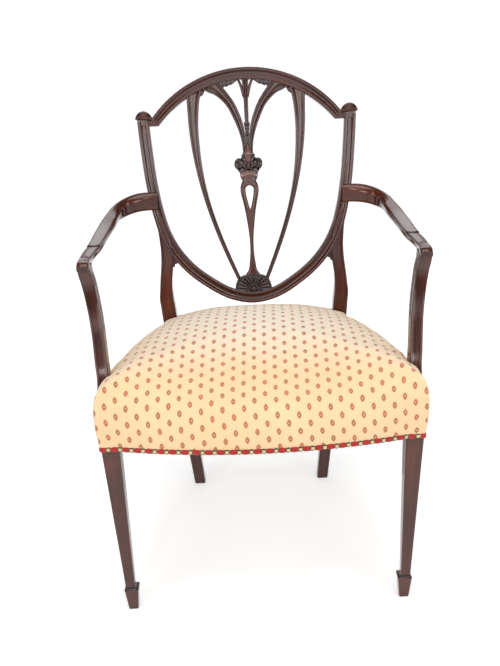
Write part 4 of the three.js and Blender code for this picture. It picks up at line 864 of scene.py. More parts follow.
arm = dict(
    height=663.0, rearRise=57.0, span=316.0, jointSpan=205.5876, front=-121.5, rear=256.0, thickness=37.0,
    round=4.0, notchDepth=-8.0, notchDip=2.0, notchCurve=5.0, easeFront=22, easeSweep=55, sweepFrom=40.0,
    sweepRound=14.0, sweepMiddle=185.0, sweepReach=85.0,
    shares=[
        [1.0143, 0, -0.105, 0.8096, 0, -0.105, 0.28], [1.0172, 0.0066, -0.035, 0.8096, 0.0066, -0.035, 0.39],
        [1.0272, 0.033, 0, 0.814, 0.033, 0, 0.46], [1.0429, 0.102, 0.0175, 0.834, 0.102, 0.0175, 0.47],
        [1.0429, 0.155, 0.035, 0.834, 0.155, 0.035, 0.455], [1.0272, 0.24, 0.07, 0.8096, 0.24, 0.07, 0.44],
        [1, 0.311, 0.105, 0.7653, 0.311, 0.105, 0.425], [0.9914, 0.364, 0.14, 0.7453, 0.364, 0.14, 0.41],
        [0.9828, 0.4914, 0.228, 0.7138, 0.4914, 0.228, 0.41], [0.9628, 0.6265, 0.35, 0.6652, 0.6265, 0.35, 0.49],
        [0.9285, 0.719, 0.49, 0.6423, 0.711, 0.474, 0.66], [0.8827, 0.796, 0.6, 0.6469, 0.775, 0.561, 0.8],
        [0.7997, 0.862, 0.735, 0.6366, 0.838, 0.667, 0.88], [0.6909, 0.9126, 0.83, 0.5736, 0.878, 0.737, 0.92],
        [0.5478, 0.96, 0.925, 0.4837, 0.907, 0.79, 0.94], [0.3617, 0.9894, 1.02, 0.3303, 0.939, 0.86, 0.96],
        [0.1486, 1, 1.03, 0.1486, 0.947, 0.886, 0.97], [-0.0503, 0.995, 0.95, -0.0503, 0.968, 0.9, 0.97]],
)


def eased(rows, spread):
    # Gaussian running mean down the rows, the ends held by mirroring
    reach = int(3 * spread)
    weights = np.exp(-(np.arange(-reach, reach + 1) / spread) ** 2 / 2)
    weights /= weights.sum()
    held = np.vstack([2 * rows[0] - rows[reach:0:-1], rows, 2 * rows[-1] - rows[-2:-reach - 2:-1]])
    return np.stack([np.convolve(held[:, k], weights, "valid") for k in range(rows.shape[1])], 1)


def armPiece(name, side):
    # Rows of outer edge, inner edge and thickness, smoothed; each section is a rounded rectangle hung from the top
    # line. Ahead of a crescent the top drops by a step, which leaves the raised end of the handhold
    start = np.array([arm["jointSpan"], arm["front"], arm["height"]] * 2 + [0])
    reach = [arm["span"] - arm["jointSpan"], arm["rear"] - arm["front"], arm["rearRise"]]
    reach = np.array(reach * 2 + [arm["thickness"]])
    fine, _ = alongCurve(start + reach * np.array(arm["shares"]), 1500)
    y = (fine[:, 1] + fine[:, 4]) / 2
    sweep = smoothStep((y - arm["sweepFrom"]) / 60)[:, None]
    fine = eased(fine, arm["easeFront"]) * (1 - sweep) + eased(fine, arm["easeSweep"]) * sweep
    nearNotch = np.where(np.abs(y - arm["notchDepth"] + 1) < 7)[0][::2]
    fine = fine[np.unique(np.concatenate([np.linspace(0, 1499, 170).astype(int), nearNotch]))]
    outer, inner = fine[:, :3] * [side, 1, 1], fine[:, 3:6] * [side, 1, 1]
    middle = (outer + inner) / 2
    sideways = inner - outer
    width = np.linalg.norm(sideways, axis=1)
    sideways /= width[:, None]
    thick = fine[:, 6]
    swept = np.exp(-((middle[:, 1] - arm["sweepMiddle"]) / arm["sweepReach"]) ** 2)
    radius = arm["round"] + (arm["sweepRound"] - arm["round"]) * swept
    radius = np.minimum(radius, 0.45 * np.minimum(width, thick))
    px, py = roundedSection(width, thick, radius, corner=6, side=9)
    points = middle[:, None, :] + sideways[:, None, :] * px[..., None]
    points[..., 2] += py - (thick / 2)[:, None]
    across = px / (width / 2)[:, None]
    top = smoothStep((py / (thick / 2)[:, None] - 0.2) / 0.6)
    points[..., 2] += top * 0.9 * (1 - across ** 2)
    step = arm["notchDepth"] - arm["notchCurve"] * (1 - np.clip(across, -1, 1) ** 2)
    ahead = smoothStep((step + 0.9 - points[..., 1]) / 1.8)
    fade = smoothStep((points[..., 1] - arm["front"]) / 55)
    points[..., 2] -= top * ahead * arm["notchDip"] * fade
    points[..., 1] += shift
    # Painted shadow along the crescent step on the top, and painted shade on the underside
    line = np.exp(-((points[..., 1] - shift - step) / 1.3) ** 2) * top
    shade = np.clip(line + 0.5 * smoothStep(-py / (thick / 2)[:, None] - 0.6), 0, 1)
    return tube(name, points, mahogany, pathLengths(middle), shade, 45)


support = dict(
    footSpan=286.0, topSpan=306.2, footDepth=-172.0, top=654.0, bottom=352.0, width=24.0, depth=34.0, round=3.0,
    shares=[[0, -0.001, 1, 0.88, 1], [0.161, 0.015, 1, 0.88, 1], [0.262, -0.048, 0.94, 0.9, 1],
            [0.332, -0.126, 0.86, 0.92, 0.97], [0.43, -0.001, 0.65, 0.92, 0.94],
            [0.597, 0.155, 0.34, 0.92, 0.92], [0.8, 0.531, 0, 0.95, 0.93],
            [0.9, 0.766, -0.06, 0.97, 0.97], [0.96, 0.945, -0.03, 0.95, 1.04], [1, 1, -0.02, 0.91, 1.15]],
)


def supportPiece(name, side):
    # Upright rounded rectangles whose middle, lean, width and depth follow the rows
    rows = np.array(support["shares"], float)
    rise = np.linspace(0, 1, 130)
    across, forward, wide, deep = through(rows, rise).T
    width, depth = wide * support["width"], deep * support["depth"]
    front = arm["front"] + forward * (support["footDepth"] - arm["front"]) + shift
    height = support["bottom"] + rise * (support["top"] - support["bottom"])
    middle = side * (support["footSpan"] + across * (support["topSpan"] - support["footSpan"]))
    x, y = roundedSection(width, depth, np.full_like(width, support["round"]), corner=6)
    return tube(name, upright(x, y, middle, front + depth / 2, height), mahogany, height, np.zeros(x.shape))


for sideName, side in sides:
    place(armPiece(f"{sideName}_arm_shaped", side), f"{sideName}_arm")
    place(supportPiece(f"{sideName}_arm_support_shaped", side), f"{sideName}_arm_support")
print("arms made")

# Front legs

frontLeg = dict(
    round=1.5,
    # height, half-span, middle of the depth, width
    rows=[[0, 260.5, -210.5, 16.6], [0.8, 260.5, -210.5, 18.0], [43.5, 260.5, -213.3, 25.7],
          [44.5, 260.5, -213.4, 26.6], [47.6, 260.6, -213.5, 26.6], [48.8, 260.8, -213.5, 24.6],
          [49.6, 261.2, -213.5, 20.6], [51.5, 261.8, -213.5, 18.6], [54, 262.5, -213.5, 18.0],
          [352, 271, -215.5, 33.0], [353, 271, -215.2, 31.0], [410, 270.5, -214, 29.0]],
)


def frontLegPiece(name, side):
    rows = np.array(frontLeg["rows"])
    heights = np.unique(np.concatenate([rows[:, 0], np.linspace(1, 43, 12), np.linspace(56, 350, 40)]))
    across, depth, width = (np.interp(heights, rows[:, 0], rows[:, k]) for k in (1, 2, 3))
    x, y = roundedSection(width, width, np.full_like(width, frontLeg["round"]), corner=4)
    # Painted shadow at the ankle over the spade foot, painted shade under the seat at the top, and darker towards
    # the floor
    ankleShadow = np.exp(-((heights - 50.5) / 2.2) ** 2)
    shade = ankleShadow + 0.25 * smoothStep((10 - heights) / 10) + 0.5 * smoothStep((heights - 318) / 30)
    rings = upright(x, y, side * across, depth + shift, heights)
    return tube(name, rings, mahogany, heights, np.clip(shade, 0, 1)[:, None], 30)


for sideName, side in sides:
    place(frontLegPiece(f"{sideName}_front_leg_tapered", side), f"{sideName}_front_leg")
print("front legs made")

# Seat: the cloth cover over its stuffing, with the notches for uprights and back legs

seat = dict(
    bottom=350.0, railTop=417.0, frontDepth=-232.0, frontBow=31.0, frontBowSpan=254.5, frontSpan=287.5,
    backSpan=188.0, backDepth=240.0, legBack=-199.0, sideSwell=12.0, centreDepth=50.0, crownHeight=499.0,
    crownPower=2.3, cornerRadius=4.0, cornerPower=4, sideReach=9.0, sideRoll=34.0, frontReach=2.4, frontRoll=84.0,
    edgeSwell=10.0, frontRises=(56.0, 59.0), backRises=(44.0, 32.0), cell=6.0, crownSlope=0.24, rounds=2500,
    joinRows=5, thickness=1.6, ceiling=421.9, step=4.5, fineStep=1.3, wallRows=30, crownRows=46, crownShare=0.985,
    softenings=6, tuck=2.6, tuckReach=9.0, gap=0.5,
    edgeShares=[[0, 0.27, 1], [0.183, 0.67, 0.9], [0.4, 1, -0.018], [0.583, 1, -0.125], [0.733, 0.8, -0.27],
                [0.85, 0.25, -0.475], [0.933, -0.25, -0.69], [1, -1, -1]],
)
centre = np.array([0, seat["centreDepth"]])


def frontLine(x):
    return seat["frontDepth"] - seat["frontBow"] * (1 - np.minimum(1, np.abs(x) / seat["frontBowSpan"]) ** 2)


def sideLine(y):
    t = np.clip((y - seat["legBack"]) / (seat["backDepth"] - seat["legBack"]), 0, 1)
    swell = seat["sideSwell"] * (1 - (2 * t - 1) ** 2)
    return seat["frontSpan"] + (seat["backSpan"] - seat["frontSpan"]) * t + swell


def seatOutline():
    # Wood line of the seat from above, from the left back corner round by the front, finer beside the uprights
    r = seat["cornerRadius"]
    turn = np.linspace(0, math.pi / 2, 9)

    def corner(x, y, start):
        return np.stack([x + r * np.cos(start + turn), y + r * np.sin(start + turn)], 1)

    depths = np.linspace(seat["backDepth"] - r, seat["frontDepth"] + r, 900)[1:-1]
    spans = np.linspace(-seat["frontSpan"] + r, seat["frontSpan"] - r, 900)[1:-1]
    backs = np.linspace(seat["backSpan"] - r, -seat["backSpan"] + r, 700)[1:-1]
    fine = np.vstack([
        corner(-seat["backSpan"] + r, seat["backDepth"] - r, math.pi / 2), np.stack([-sideLine(depths), depths], 1),
        corner(-seat["frontSpan"] + r, seat["frontDepth"] + r, math.pi), np.stack([spans, frontLine(spans)], 1),
        corner(seat["frontSpan"] - r, seat["frontDepth"] + r, 1.5 * math.pi),
        np.stack([sideLine(depths[::-1]), depths[::-1]], 1),
        corner(seat["backSpan"] - r, seat["backDepth"] - r, 0),
        np.stack([backs, np.full_like(backs, seat["backDepth"])], 1)])
    run = pathLengths(fine)
    nearUpright = (np.abs(fine[:, 0]) > 255) & (fine[:, 1] > -182) & (fine[:, 1] < -105)
    nearBackLeg = (np.abs(fine[:, 0]) > 160) & (fine[:, 1] > 196)
    nearCorner = (np.abs(fine[:, 0]) > 282) & (fine[:, 1] < -224)
    spacing = np.where(nearUpright | nearBackLeg | nearCorner, seat["fineStep"], seat["step"])
    count = np.concatenate([[0], np.cumsum(np.diff(run) / spacing[1:])])
    even = np.linspace(0, count[-1], int(count[-1]), endpoint=False)
    return np.stack([np.interp(even, count, fine[:, j]) for j in (0, 1)], 1)


def edgeHeight(points):
    across = np.abs(points[:, 0])
    front, back = seat["frontRises"], seat["backRises"]
    span = np.where(points[:, 1] > seat["centreDepth"], seat["backSpan"], seat["frontSpan"])
    a = np.minimum(1, across / span) ** 2
    share = (points[:, 1] - seat["frontDepth"]) / (seat["backDepth"] - seat["frontDepth"])
    side = front[1] + (back[1] - front[1]) * share + seat["edgeSwell"] * (1 - (2 * share - 1) ** 2)
    alongBack, alongFront = (ends[0] + (ends[1] - ends[0]) * a for ends in (back, front))
    height = np.where(points[:, 1] > seat["backDepth"] - seat["cornerRadius"], alongBack, side)
    height = np.where(points[:, 1] < seat["frontDepth"] + seat["cornerRadius"], alongFront, height)
    return seat["railTop"] + height


def uprightBox(height):
    # Inner face and depth of an arm support at a height
    rise = np.clip((height - support["bottom"]) / (support["top"] - support["bottom"]), 0, 1)
    across, forward, wide, deep = through(support["shares"], rise).T
    middle = support["footSpan"] + across * (support["topSpan"] - support["footSpan"])
    front = arm["front"] + forward * (support["footDepth"] - arm["front"])
    return middle - wide * support["width"] / 2, front, front + deep * support["depth"]


def tuckedIn(points, gap):
    # Keeps the cloth beside the uprights and inside the back legs, drawn down a little where it is turned in
    x, y, z = points[..., 0], points[..., 1], points[..., 2]
    inner, front, back = (v.reshape(z.shape) for v in uprightBox(z.ravel()))
    inside = (y > front - gap) & (y < back + gap) & (np.abs(x) > inner - gap) & (z > support["bottom"] - 1)
    away = np.maximum(0, np.maximum(front - y, y - back))
    near = np.exp(-(away / seat["tuckReach"]) ** 2) * smoothStep((np.abs(x) - inner + 16) / 16)
    near = near * smoothStep((z - 400) / 40)
    points[..., 2] = z - seat["tuck"] * near * smoothStep((z - 440) / 20)
    x = x - np.sign(x) * seat["tuck"] * near * 0.6
    points[..., 0] = np.where(inside, np.sign(x) * (inner - gap), x)
    x, y = points[..., 0], points[..., 1]
    faceY = backLeg["footDepth"] - backLeg["rakeShare"] * z - gap
    share = z / shield["footHeight"]
    middle = backLeg["footSpan"] + (backLeg["span"] - backLeg["footSpan"]) * share
    width = backLeg["width"] * (backLeg["footWidthShare"] + (1 - backLeg["footWidthShare"]) * share)
    faceX = middle - width / 2 - gap
    c = seat["centreDepth"]
    keepY, keepX = (faceY - c) / np.maximum(1, y - c), faceX / np.maximum(1, np.abs(x))
    keep = np.maximum(np.minimum(1, keepY), np.minimum(1, keepX))
    keep = np.where(y > c + 20, keep, 1)
    points[..., 0] = x * keep
    points[..., 1] = c + (y - c) * keep
    return points


def membraneUp(ring, ringUp, places, first):
    # Heights of a skin stretched over the ring and blown up: the mean of the four neighbours plus a constant lift,
    # worked out on a square grid whose cells past the ring follow its slope outwards
    cell, edge = seat["cell"], seat["crownSlope"]
    xs = np.arange(-306, 307, cell)
    ys = np.arange(-282, 265, cell)
    gx, gy = np.meshgrid(xs, ys, indexing="ij")

    def polar(x, y):
        return np.arctan2(y - centre[1], x - centre[0]), np.hypot(x - centre[0], y - centre[1])

    ringAngle, ringFar = polar(ring[:, 0], ring[:, 1])
    order = np.argsort(ringAngle)
    angle, far = polar(gx, gy)
    limit = np.interp(angle, ringAngle[order], ringFar[order], period=2 * math.pi)
    height = np.interp(angle, ringAngle[order], ringUp[order], period=2 * math.pi)
    fixed = far >= limit
    outside = height - edge * (far - limit)
    flat, blown = np.where(fixed, outside, seat["crownHeight"]), np.where(fixed, 0.0, 1.0)
    blown *= (1 - (far / np.maximum(limit, 1)) ** 2).clip(0) * 4000
    for _ in range(seat["rounds"]):
        for field, lift in ((flat, 0.0), (blown, 1.0)):
            mean = (field[:-2, 1:-1] + field[2:, 1:-1] + field[1:-1, :-2] + field[1:-1, 2:]) / 4 + lift
            field[1:-1, 1:-1] = np.where(fixed[1:-1, 1:-1], field[1:-1, 1:-1], mean)

    def sample(field, at):
        i = np.clip((at[..., 0] - xs[0]) / cell, 0, len(xs) - 1.001)
        j = np.clip((at[..., 1] - ys[0]) / cell, 0, len(ys) - 1.001)
        a, b = i.astype(int), j.astype(int)
        u, v = i - a, j - b
        near, beyond = (field[a, c] * (1 - u) + field[a + 1, c] * u for c in (b, b + 1))
        return near * (1 - v) + beyond * v

    share = (seat["crownHeight"] - sample(flat, centre)) / sample(blown, centre)
    skin = sample(flat + share * blown, places)
    near = smoothStep(np.arange(1, len(places) + 1) / seat["joinRows"])[:, None]
    return first + (skin - first) * near


def coverGrid():
    # Each column: up the edge profile, then over the crown to the middle; reach goes radially to the middle
    wallRows = seat["wallRows"]
    inward = centre - outline
    reach = np.linalg.norm(inward, axis=1)
    inward /= reach[:, None]
    weight = np.where(outline[:, 1] > seat["frontDepth"] + seat["cornerRadius"], 0,
                      1 - np.minimum(1, np.abs(outline[:, 0]) / seat["frontSpan"]) ** seat["cornerPower"])
    rise = np.linspace(0, 1, wallRows)
    side, front = through(seat["edgeShares"], rise).T
    sideIn = -side * np.where(side > 0, seat["sideReach"], seat["sideRoll"])
    frontIn = -front * np.where(front > 0, seat["frontReach"], seat["frontRoll"])
    top = edgeHeight(outline)
    edgeIn = sideIn[:, None] + (frontIn - sideIn)[:, None] * weight
    edgeUp = seat["bottom"] + rise[:, None] * (top - seat["bottom"])
    share = (np.linspace(0, 1, seat["crownRows"] + 1)[1:] * seat["crownShare"])[:, None]
    crownIn = edgeIn[-1] + (reach - edgeIn[-1]) * share
    crownUp = edgeUp[-1] + (seat["crownHeight"] - edgeUp[-1]) * (1 - (1 - share) ** seat["crownPower"])
    ring, places = outline + inward * edgeIn[-1][:, None], outline + inward * crownIn[..., None]
    inRows = np.vstack([edgeIn, crownIn])
    upRows = np.vstack([edgeUp, membraneUp(ring, edgeUp[-1], places, crownUp)])
    for rows in (inRows, upRows):
        for _ in range(seat["softenings"]):
            rows[1:-1] = (rows[:-2] + 2 * rows[1:-1] + rows[2:]) / 4
    return np.stack([outline[:, 0] + inward[:, 0] * inRows, outline[:, 1] + inward[:, 1] * inRows, upRows], -1)


def clothMap(grid):
    # Flat place on the crown; past the edge the cloth runs on square to the side it hangs down
    step = np.linalg.norm(np.diff(grid, axis=0), axis=2)
    far = np.linalg.norm(grid[..., :2] - centre, axis=2)
    flat = np.linalg.norm(np.diff(grid[..., :2], axis=0), axis=2) * np.sign(far[:-1] - far[1:])
    extra = np.zeros(grid.shape[:2])
    extra[:-1] = np.cumsum((step - flat)[::-1], axis=0)[::-1]
    frontal = smoothStep((-outline[:, 1] - 218) / 14)
    backward = smoothStep((outline[:, 1] - 215) / 14)
    normal = np.stack([np.sign(outline[:, 0]) * (1 - frontal) * (1 - backward), backward - frontal], 1)
    flatPlace = grid[..., :2] + normal * extra[..., None]
    u, v = flatPlace[..., 0], flatPlace[..., 1]
    skew = pull["topSkew"] * np.maximum(0, v - pull["skewFrom"])
    skew = skew + pull["frontSkew"] * np.maximum(0, pull["hangFrom"] - v)
    taken = pull["takeUp"] * (np.clip(v, pull["rollFrom"], pull["rollTo"]) - pull["rollFrom"])
    return np.stack([u - skew, v + taken], -1)


def outwards(places):
    away = places - centre
    return away / np.linalg.norm(away, axis=1)[:, None]


pull = dict(
    topSkew=0.034, skewFrom=-232.0, frontSkew=0.05, hangFrom=-265.0, takeUp=0.13, rollFrom=-245.0, rollTo=-120.0,
)
outline = seatOutline()
bare = coverGrid()
mapRows = clothMap(bare)
outer = tuckedIn(bare.copy(), seat["gap"])
plumb = seat["sideReach"] * seat["edgeShares"][0][1]  # how far the cloth stands out at its lower edge
print("cover columns:", len(outline))


def coverPiece():
    # Closed body: outer cloth, lip, inner wall up to the ceiling over the webbing, ceiling to the middle
    columns = len(outline)
    away = outwards(outline)
    top = outer[seat["wallRows"] - 1, :, 2]
    inner = []
    for z in np.linspace(seat["bottom"], seat["ceiling"], 12):
        row = (z - seat["bottom"]) / (top - seat["bottom"]) * (seat["wallRows"] - 1)
        low = np.clip(row.astype(int), 0, seat["wallRows"] - 2)
        part = (row - low)[:, None]
        skin = bare[low, np.arange(columns), :2] * (1 - part) + bare[low + 1, np.arange(columns), :2] * part
        out = np.minimum(np.sum((skin - outline) * away, 1), plumb) - seat["thickness"]
        inner.append(np.column_stack([outline + away * out[:, None], np.full(columns, z)]))
    inner = tuckedIn(np.stack(inner), seat["gap"] + seat["thickness"])
    edge = inner[-1][:, :2]
    lid = [np.column_stack([edge + (centre - edge) * share, np.full(columns, seat["ceiling"])])
           for share in (0.9, 0.6, 0.3)]
    rings = np.concatenate([np.stack(lid), inner[::-1], outer])
    rings[..., 1] += shift
    piece = tube("seat_cover_cloth", rings, seatCloth, np.zeros(len(rings)), sharpDegrees=70)
    flat = np.concatenate([rings[:-len(outer), :, :2], mapRows]).reshape(-1, 2)
    layMap(piece.data, np.vstack([flat, [[0, 0], centre]]) * mm)
    return piece


cloth = dict(
    voxel=5.5, frames=20, pressure=4.0, mass=0.3, tension=15.0, shear=5.0, bending=0.5, quality=5, pinFull=412.0,
    pinFree=440.0, cap=7.0,
)


def blownUp(piece):
    # Cloth simulation: a remeshed copy, held where the cloth is tacked, is blown up by a light pressure; the cover
    # follows it through a surface bind, and what each point travelled is capped and kept
    scene = bpy.context.scene
    work = linked("cloth_work", piece.data.copy())
    remesh = work.modifiers.new("remesh", "REMESH")
    remesh.mode, remesh.voxel_size = "VOXEL", cloth["voxel"] * mm
    graph = bpy.context.evaluated_depsgraph_get()
    coarse = bpy.data.meshes.new_from_object(work.evaluated_get(graph))
    work.modifiers.clear()
    work.data = coarse
    height = meshPlaces(coarse)[:, 2] / mm
    held = np.clip((cloth["pinFree"] - height) / (cloth["pinFree"] - cloth["pinFull"]), 0, 1)
    group = work.vertex_groups.new(name="held")
    for level in range(11):
        near = np.where(np.round(held * 10) == level)[0].tolist()
        if near:
            group.add(near, level / 10, "REPLACE")
    blown = work.modifiers.new("cloth", "CLOTH")
    settings = blown.settings
    settings.quality, settings.mass = cloth["quality"], cloth["mass"]
    settings.tension_stiffness = settings.compression_stiffness = cloth["tension"]
    settings.shear_stiffness, settings.bending_stiffness = cloth["shear"], cloth["bending"]
    settings.vertex_group_mass = "held"
    settings.use_pressure, settings.uniform_pressure_force = True, cloth["pressure"]
    settings.effector_weights.gravity = 0
    blown.collision_settings.use_collision = False
    blown.point_cache.frame_start, blown.point_cache.frame_end = 1, cloth["frames"]
    scene.frame_start, scene.frame_end = 1, cloth["frames"]
    scene.frame_set(1)
    follow = piece.modifiers.new("follow", "SURFACE_DEFORM")
    follow.target = work
    with bpy.context.temp_override(object=piece, active_object=piece):
        bpy.ops.object.surfacedeform_bind(modifier="follow")
    print("cloth bound:", follow.is_bound, "cells:", len(coarse.polygons))
    for step in range(1, cloth["frames"] + 1):
        scene.frame_set(step)
    graph = bpy.context.evaluated_depsgraph_get()
    settled = piece.evaluated_get(graph).to_mesh()
    start = meshPlaces(piece.data) / mm
    travel = meshPlaces(settled) / mm - start
    far = np.linalg.norm(travel, axis=1)
    travel *= (np.minimum(far, cloth["cap"]) / np.maximum(far, 1e-6))[:, None]
    skin = slice(len(start) - 2 - outer.size // 3, len(start) - 2)  # the last two points are the ends' middles
    moved = start[skin] + travel[skin]
    moved[:, 1] -= shift
    moved = tuckedIn(moved.reshape(outer.shape), seat["gap"]).reshape(-1, 3)
    moved[:, 1] += shift
    start[skin] = moved
    start[-1] = moved[-outer.shape[1]:].mean(0)
    piece.modifiers.clear()
    piece.data.vertices.foreach_set("co", (start * mm).ravel())
    piece.data.update()
    bpy.data.objects.remove(work)
    scene.frame_set(1)
    print("cloth settled, most travel:", round(float(far.max()), 2), "mm")


# Cloth: half-drop rows of small lozenges on a fine cream weave

clothLook = dict(
    steps=(37.5, 28.2), phase=(-11.5, -282.5), halves=(4.0, 6.4), roundness=0.75, wobble=2.2, fuzz=0.35,
    heartEdge=(0.12, 0.40), softEdge=(0.80, 1.18), ground=(0.93, 0.62, 0.32), groundPale=(0.94, 0.70, 0.44),
    paintedSheen=(0.96, 0.87, 0.71), sheenFrom=462.0, sheenTo=520.0, sheenMost=0.8, weaveDark=(0.80, 0.62, 0.40),
    weaveDepth=0.16, thread=2.2, ring=(0.57, 0.165, 0.075), brownRing=(0.47, 0.17, 0.065), heart=(0.80, 0.47, 0.26),
)


def lozengeCloth(name, look):
    # A lozenge stands where |across| / half-width + |along| / half-length is under one, eased towards the round sum
    # of squares, on two lattices half a step apart
    made = Finish(name)
    placed = made.onPiece()
    wobble = (made.noise(placed, 24.0, 1.0) - 0.5) * (look["wobble"] * mm)
    nearest = None
    for share in (0.0, 0.5):
        shares = []
        for axis, (step, phase, half) in enumerate(zip(look["steps"], look["phase"], look["halves"])):
            away = made.add("SeparateXYZ", {0: placed}, axis) - (phase + share * step) * mm + wobble
            away = away.math("WRAP", step * mm / 2, -step * mm / 2).math("ABSOLUTE")
            shares.append(away / (half * mm))
        du, dv = shares
        curved = (du * du + dv * dv).math("SQRT")
        far = (du + dv) * (1 - look["roundness"]) + curved * look["roundness"]
        nearest = far if nearest is None else nearest.math("MINIMUM", far)
    nearest = nearest + (made.noise(placed, 900.0, 2.0) - 0.5) * look["fuzz"]
    ground = made.blend(made.noise(placed, 7.0, 3.0), look["ground"], look["groundPale"])
    # Painted sheen: the top is paler with height
    high = made.add("SeparateXYZ", {0: made.onChair()}, 2)
    paintedSheen = made.between(high, (look["sheenFrom"] * mm, look["sheenTo"] * mm), (0.0, look["sheenMost"]), "SMOOTHSTEP")
    ground = made.blend(paintedSheen, ground, look["paintedSheen"])
    weft, warp = (made.wave(placed, direction, look["thread"], 1.2, 1.0) for direction in "XY")
    weave = (weft + warp) * 0.5
    ground = made.blend((1.0 - weave) * look["weaveDepth"], ground, look["weaveDark"])
    # Lozenges: pale heart, ring that is redder in some and browner in others, fuzzy edge
    thread = made.ramp(made.noise(placed, 42.0, 0.0), [(0.42, look["ring"]), (0.58, look["brownRing"])])
    motif = made.blend(made.between(nearest, look["heartEdge"], (1.0, 0.0)), thread, look["heart"])
    inside = made.between(nearest, look["softEdge"], (1.0, 0.0), "SMOOTHSTEP")
    made.surface({"Base Color": made.blend(inside, ground, motif), "Roughness": 0.92, "Sheen Weight": 0.5,
                  "Sheen Roughness": 0.5})
    made.bump(weave + inside * 0.8, 0.35, 0.3)
    return made.material


seatCloth = lozengeCloth("creamLozengeCloth", clothLook)
cover = coverPiece()
place(cover, "seat_cover", "seat_stuffing", slot="seat_fabric")
blownUp(cover)
print("seat cover made")

# Braid: a domed band of puffed blocks round the bottom of the cover

braid = dict(
    bottom=346.5, height=10.0, thickness=2.4, gap=0.35, period=21.0, redShare=0.62, edgeShare=0.09, softShare=0.02,
    rimFrom=2.4, rimTo=3.2, puff=0.75, scallop=1.5, steps=14, twill=2.6, red=(0.50, 0.012, 0.012),
    gold=(0.80, 0.66, 0.36), edge=(0.07, 0.05, 0.015),
)


def braidPiece():
    # Ring of half-round sections; thickness and height swell within each block, so the edges scallop
    wall = plumb + braid["gap"]
    line = np.vstack([outline, outline[:1]])
    run = pathLengths(line)
    periods = round(run[-1] / braid["period"])
    even = np.linspace(0, run[-1], periods * braid["steps"], endpoint=False)
    at = np.stack([np.interp(even, run, line[:, j]) for j in (0, 1)], 1)
    out = outwards(at)
    phase = (even / run[-1] * periods) % 1.0
    red = braid["redShare"]
    swell = np.sin(math.pi * np.where(phase < red, phase / red, (phase - red) / (1 - red))) ** 0.5
    turn = np.linspace(-math.pi / 2, math.pi / 2, 11)
    thick = braid["thickness"] * (1 - braid["puff"] * 0.5 * (1 - swell))
    half = (braid["height"] / 2 - braid["scallop"] * (1 - swell))[:, None]
    lift = np.concatenate([thick[:, None] * np.cos(turn) ** 0.6, np.zeros((len(at), 3))], 1)
    up = braid["bottom"] + braid["height"] / 2 + half * np.concatenate([np.sin(turn), [0.6, 0.0, -0.6]])
    rings = np.stack([at[:, :1] + out[:, :1] * (wall + lift), at[:, 1:] + out[:, 1:] * (wall + lift), up], -1)
    rings = tuckedIn(rings, 0.2)
    rings[..., 1] += shift
    rows, columns = rings.shape[:2]
    faces = gridFaces(rows, columns, True)
    lastRow = (rows - 1) * columns
    faces += [(lastRow + c, lastRow + (c + 1) % columns, (c + 1) % columns, c) for c in range(columns)]
    uv = np.stack([np.repeat(phase * braid["period"], columns), rings[..., 2].ravel() - braid["bottom"]], 1)
    return finishMesh("braid_woven", rings.reshape(-1, 3), faces, wovenBraid, uv, sharpDegrees=60)


def braidMaterial(name, look):
    # Red blocks with narrower gold ones between, each edged with dark thread, over a diagonal twill
    made = Finish(name)
    placed = made.onPiece()
    along, up = (made.add("SeparateXYZ", {0: placed}, axis) for axis in (0, 1))
    share = along / (look["period"] * mm)
    half, soft, turned, edge = look["edgeShare"] / 2, look["softShare"], look["redShare"], look["edge"]
    reds = [(0.0, edge), (half, edge), (half + soft, look["red"]), (turned - half, look["red"]),
            (turned - half + soft, edge)]
    golds = [(turned + half, edge), (turned + half + soft, look["gold"]), (1 - half, look["gold"]),
             (1 - half + soft, edge)]
    away = (up - look["height"] / 2 * mm).math("ABSOLUTE")
    core = made.between(away, (look["rimFrom"] * mm, look["rimTo"] * mm), (1.0, 0.0))
    colour = made.blend(core, made.ramp(share, reds), made.ramp(share, reds + golds))
    twist = made.wave(placed, "DIAGONAL", look["twill"], 0.6)
    shade = made.ramp(twist, [(0.0, (0.62, 0.62, 0.62)), (0.6, (1, 1, 1))])
    made.surface({"Base Color": made.blend(0.8, colour, shade, "MULTIPLY"), "Roughness": 0.75, "Sheen Weight": 0.3})
    made.bump(twist, 0.6, 0.4)
    return made.material


wovenBraid = braidMaterial("wovenBraid", braid)
place(braidPiece(), "front_braid", "left_braid", "right_braid", "back_braid", slot="braid")
print("braid made")

# Hidden parts that keep their CAD shape: beech frame, jute straps and cloth, steel screws


def beech(name):
    # Pale straight grain with short dark flecks, read from the place on the chair
    made = Finish(name)
    where = made.onChair()
    grain = made.noise(made.stretched(where, (12.0, 160.0, 160.0)), 1.0, 4.0)
    flecks = made.noise(made.stretched(where, (250.0, 1600.0, 1600.0)), 1.0, 1.0)
    colour = made.ramp(grain, [(0.3, (0.26, 0.15, 0.075)), (0.5, (0.40, 0.25, 0.13)), (0.7, (0.50, 0.34, 0.19))])
    dark = made.ramp(flecks, [(0.32, (0.6, 0.55, 0.5)), (0.42, (1, 1, 1))])
    made.surface({"Base Color": made.blend(0.8, colour, dark, "MULTIPLY"),
                  "Roughness": made.between(grain, (0.3, 0.7), (0.55, 0.8))})
    made.bump(grain, 0.3, 0.3)
    return made.material


def jute(name, threadWidth, light, dark):
    # Plain weave: two crossed waves, the higher one seen, over uneven threads
    made = Finish(name)
    where = made.onChair()
    weft, warp = (made.wave(where, direction, 3.1 * threadWidth, 0.8) for direction in "XY")
    weave = weft.math("MAXIMUM", warp)
    slubs = made.ramp(made.noise(where, 60.0, 3.0), [(0.3, (0.65, 0.6, 0.5)), (0.7, (1, 1, 1))])
    colour = made.ramp(weave, [(0.2, dark), (0.9, light)])
    made.surface({"Base Color": made.blend(0.6, colour, slubs, "MULTIPLY"), "Roughness": 0.95})
    made.bump(weave, 0.7, 0.5)
    return made.material


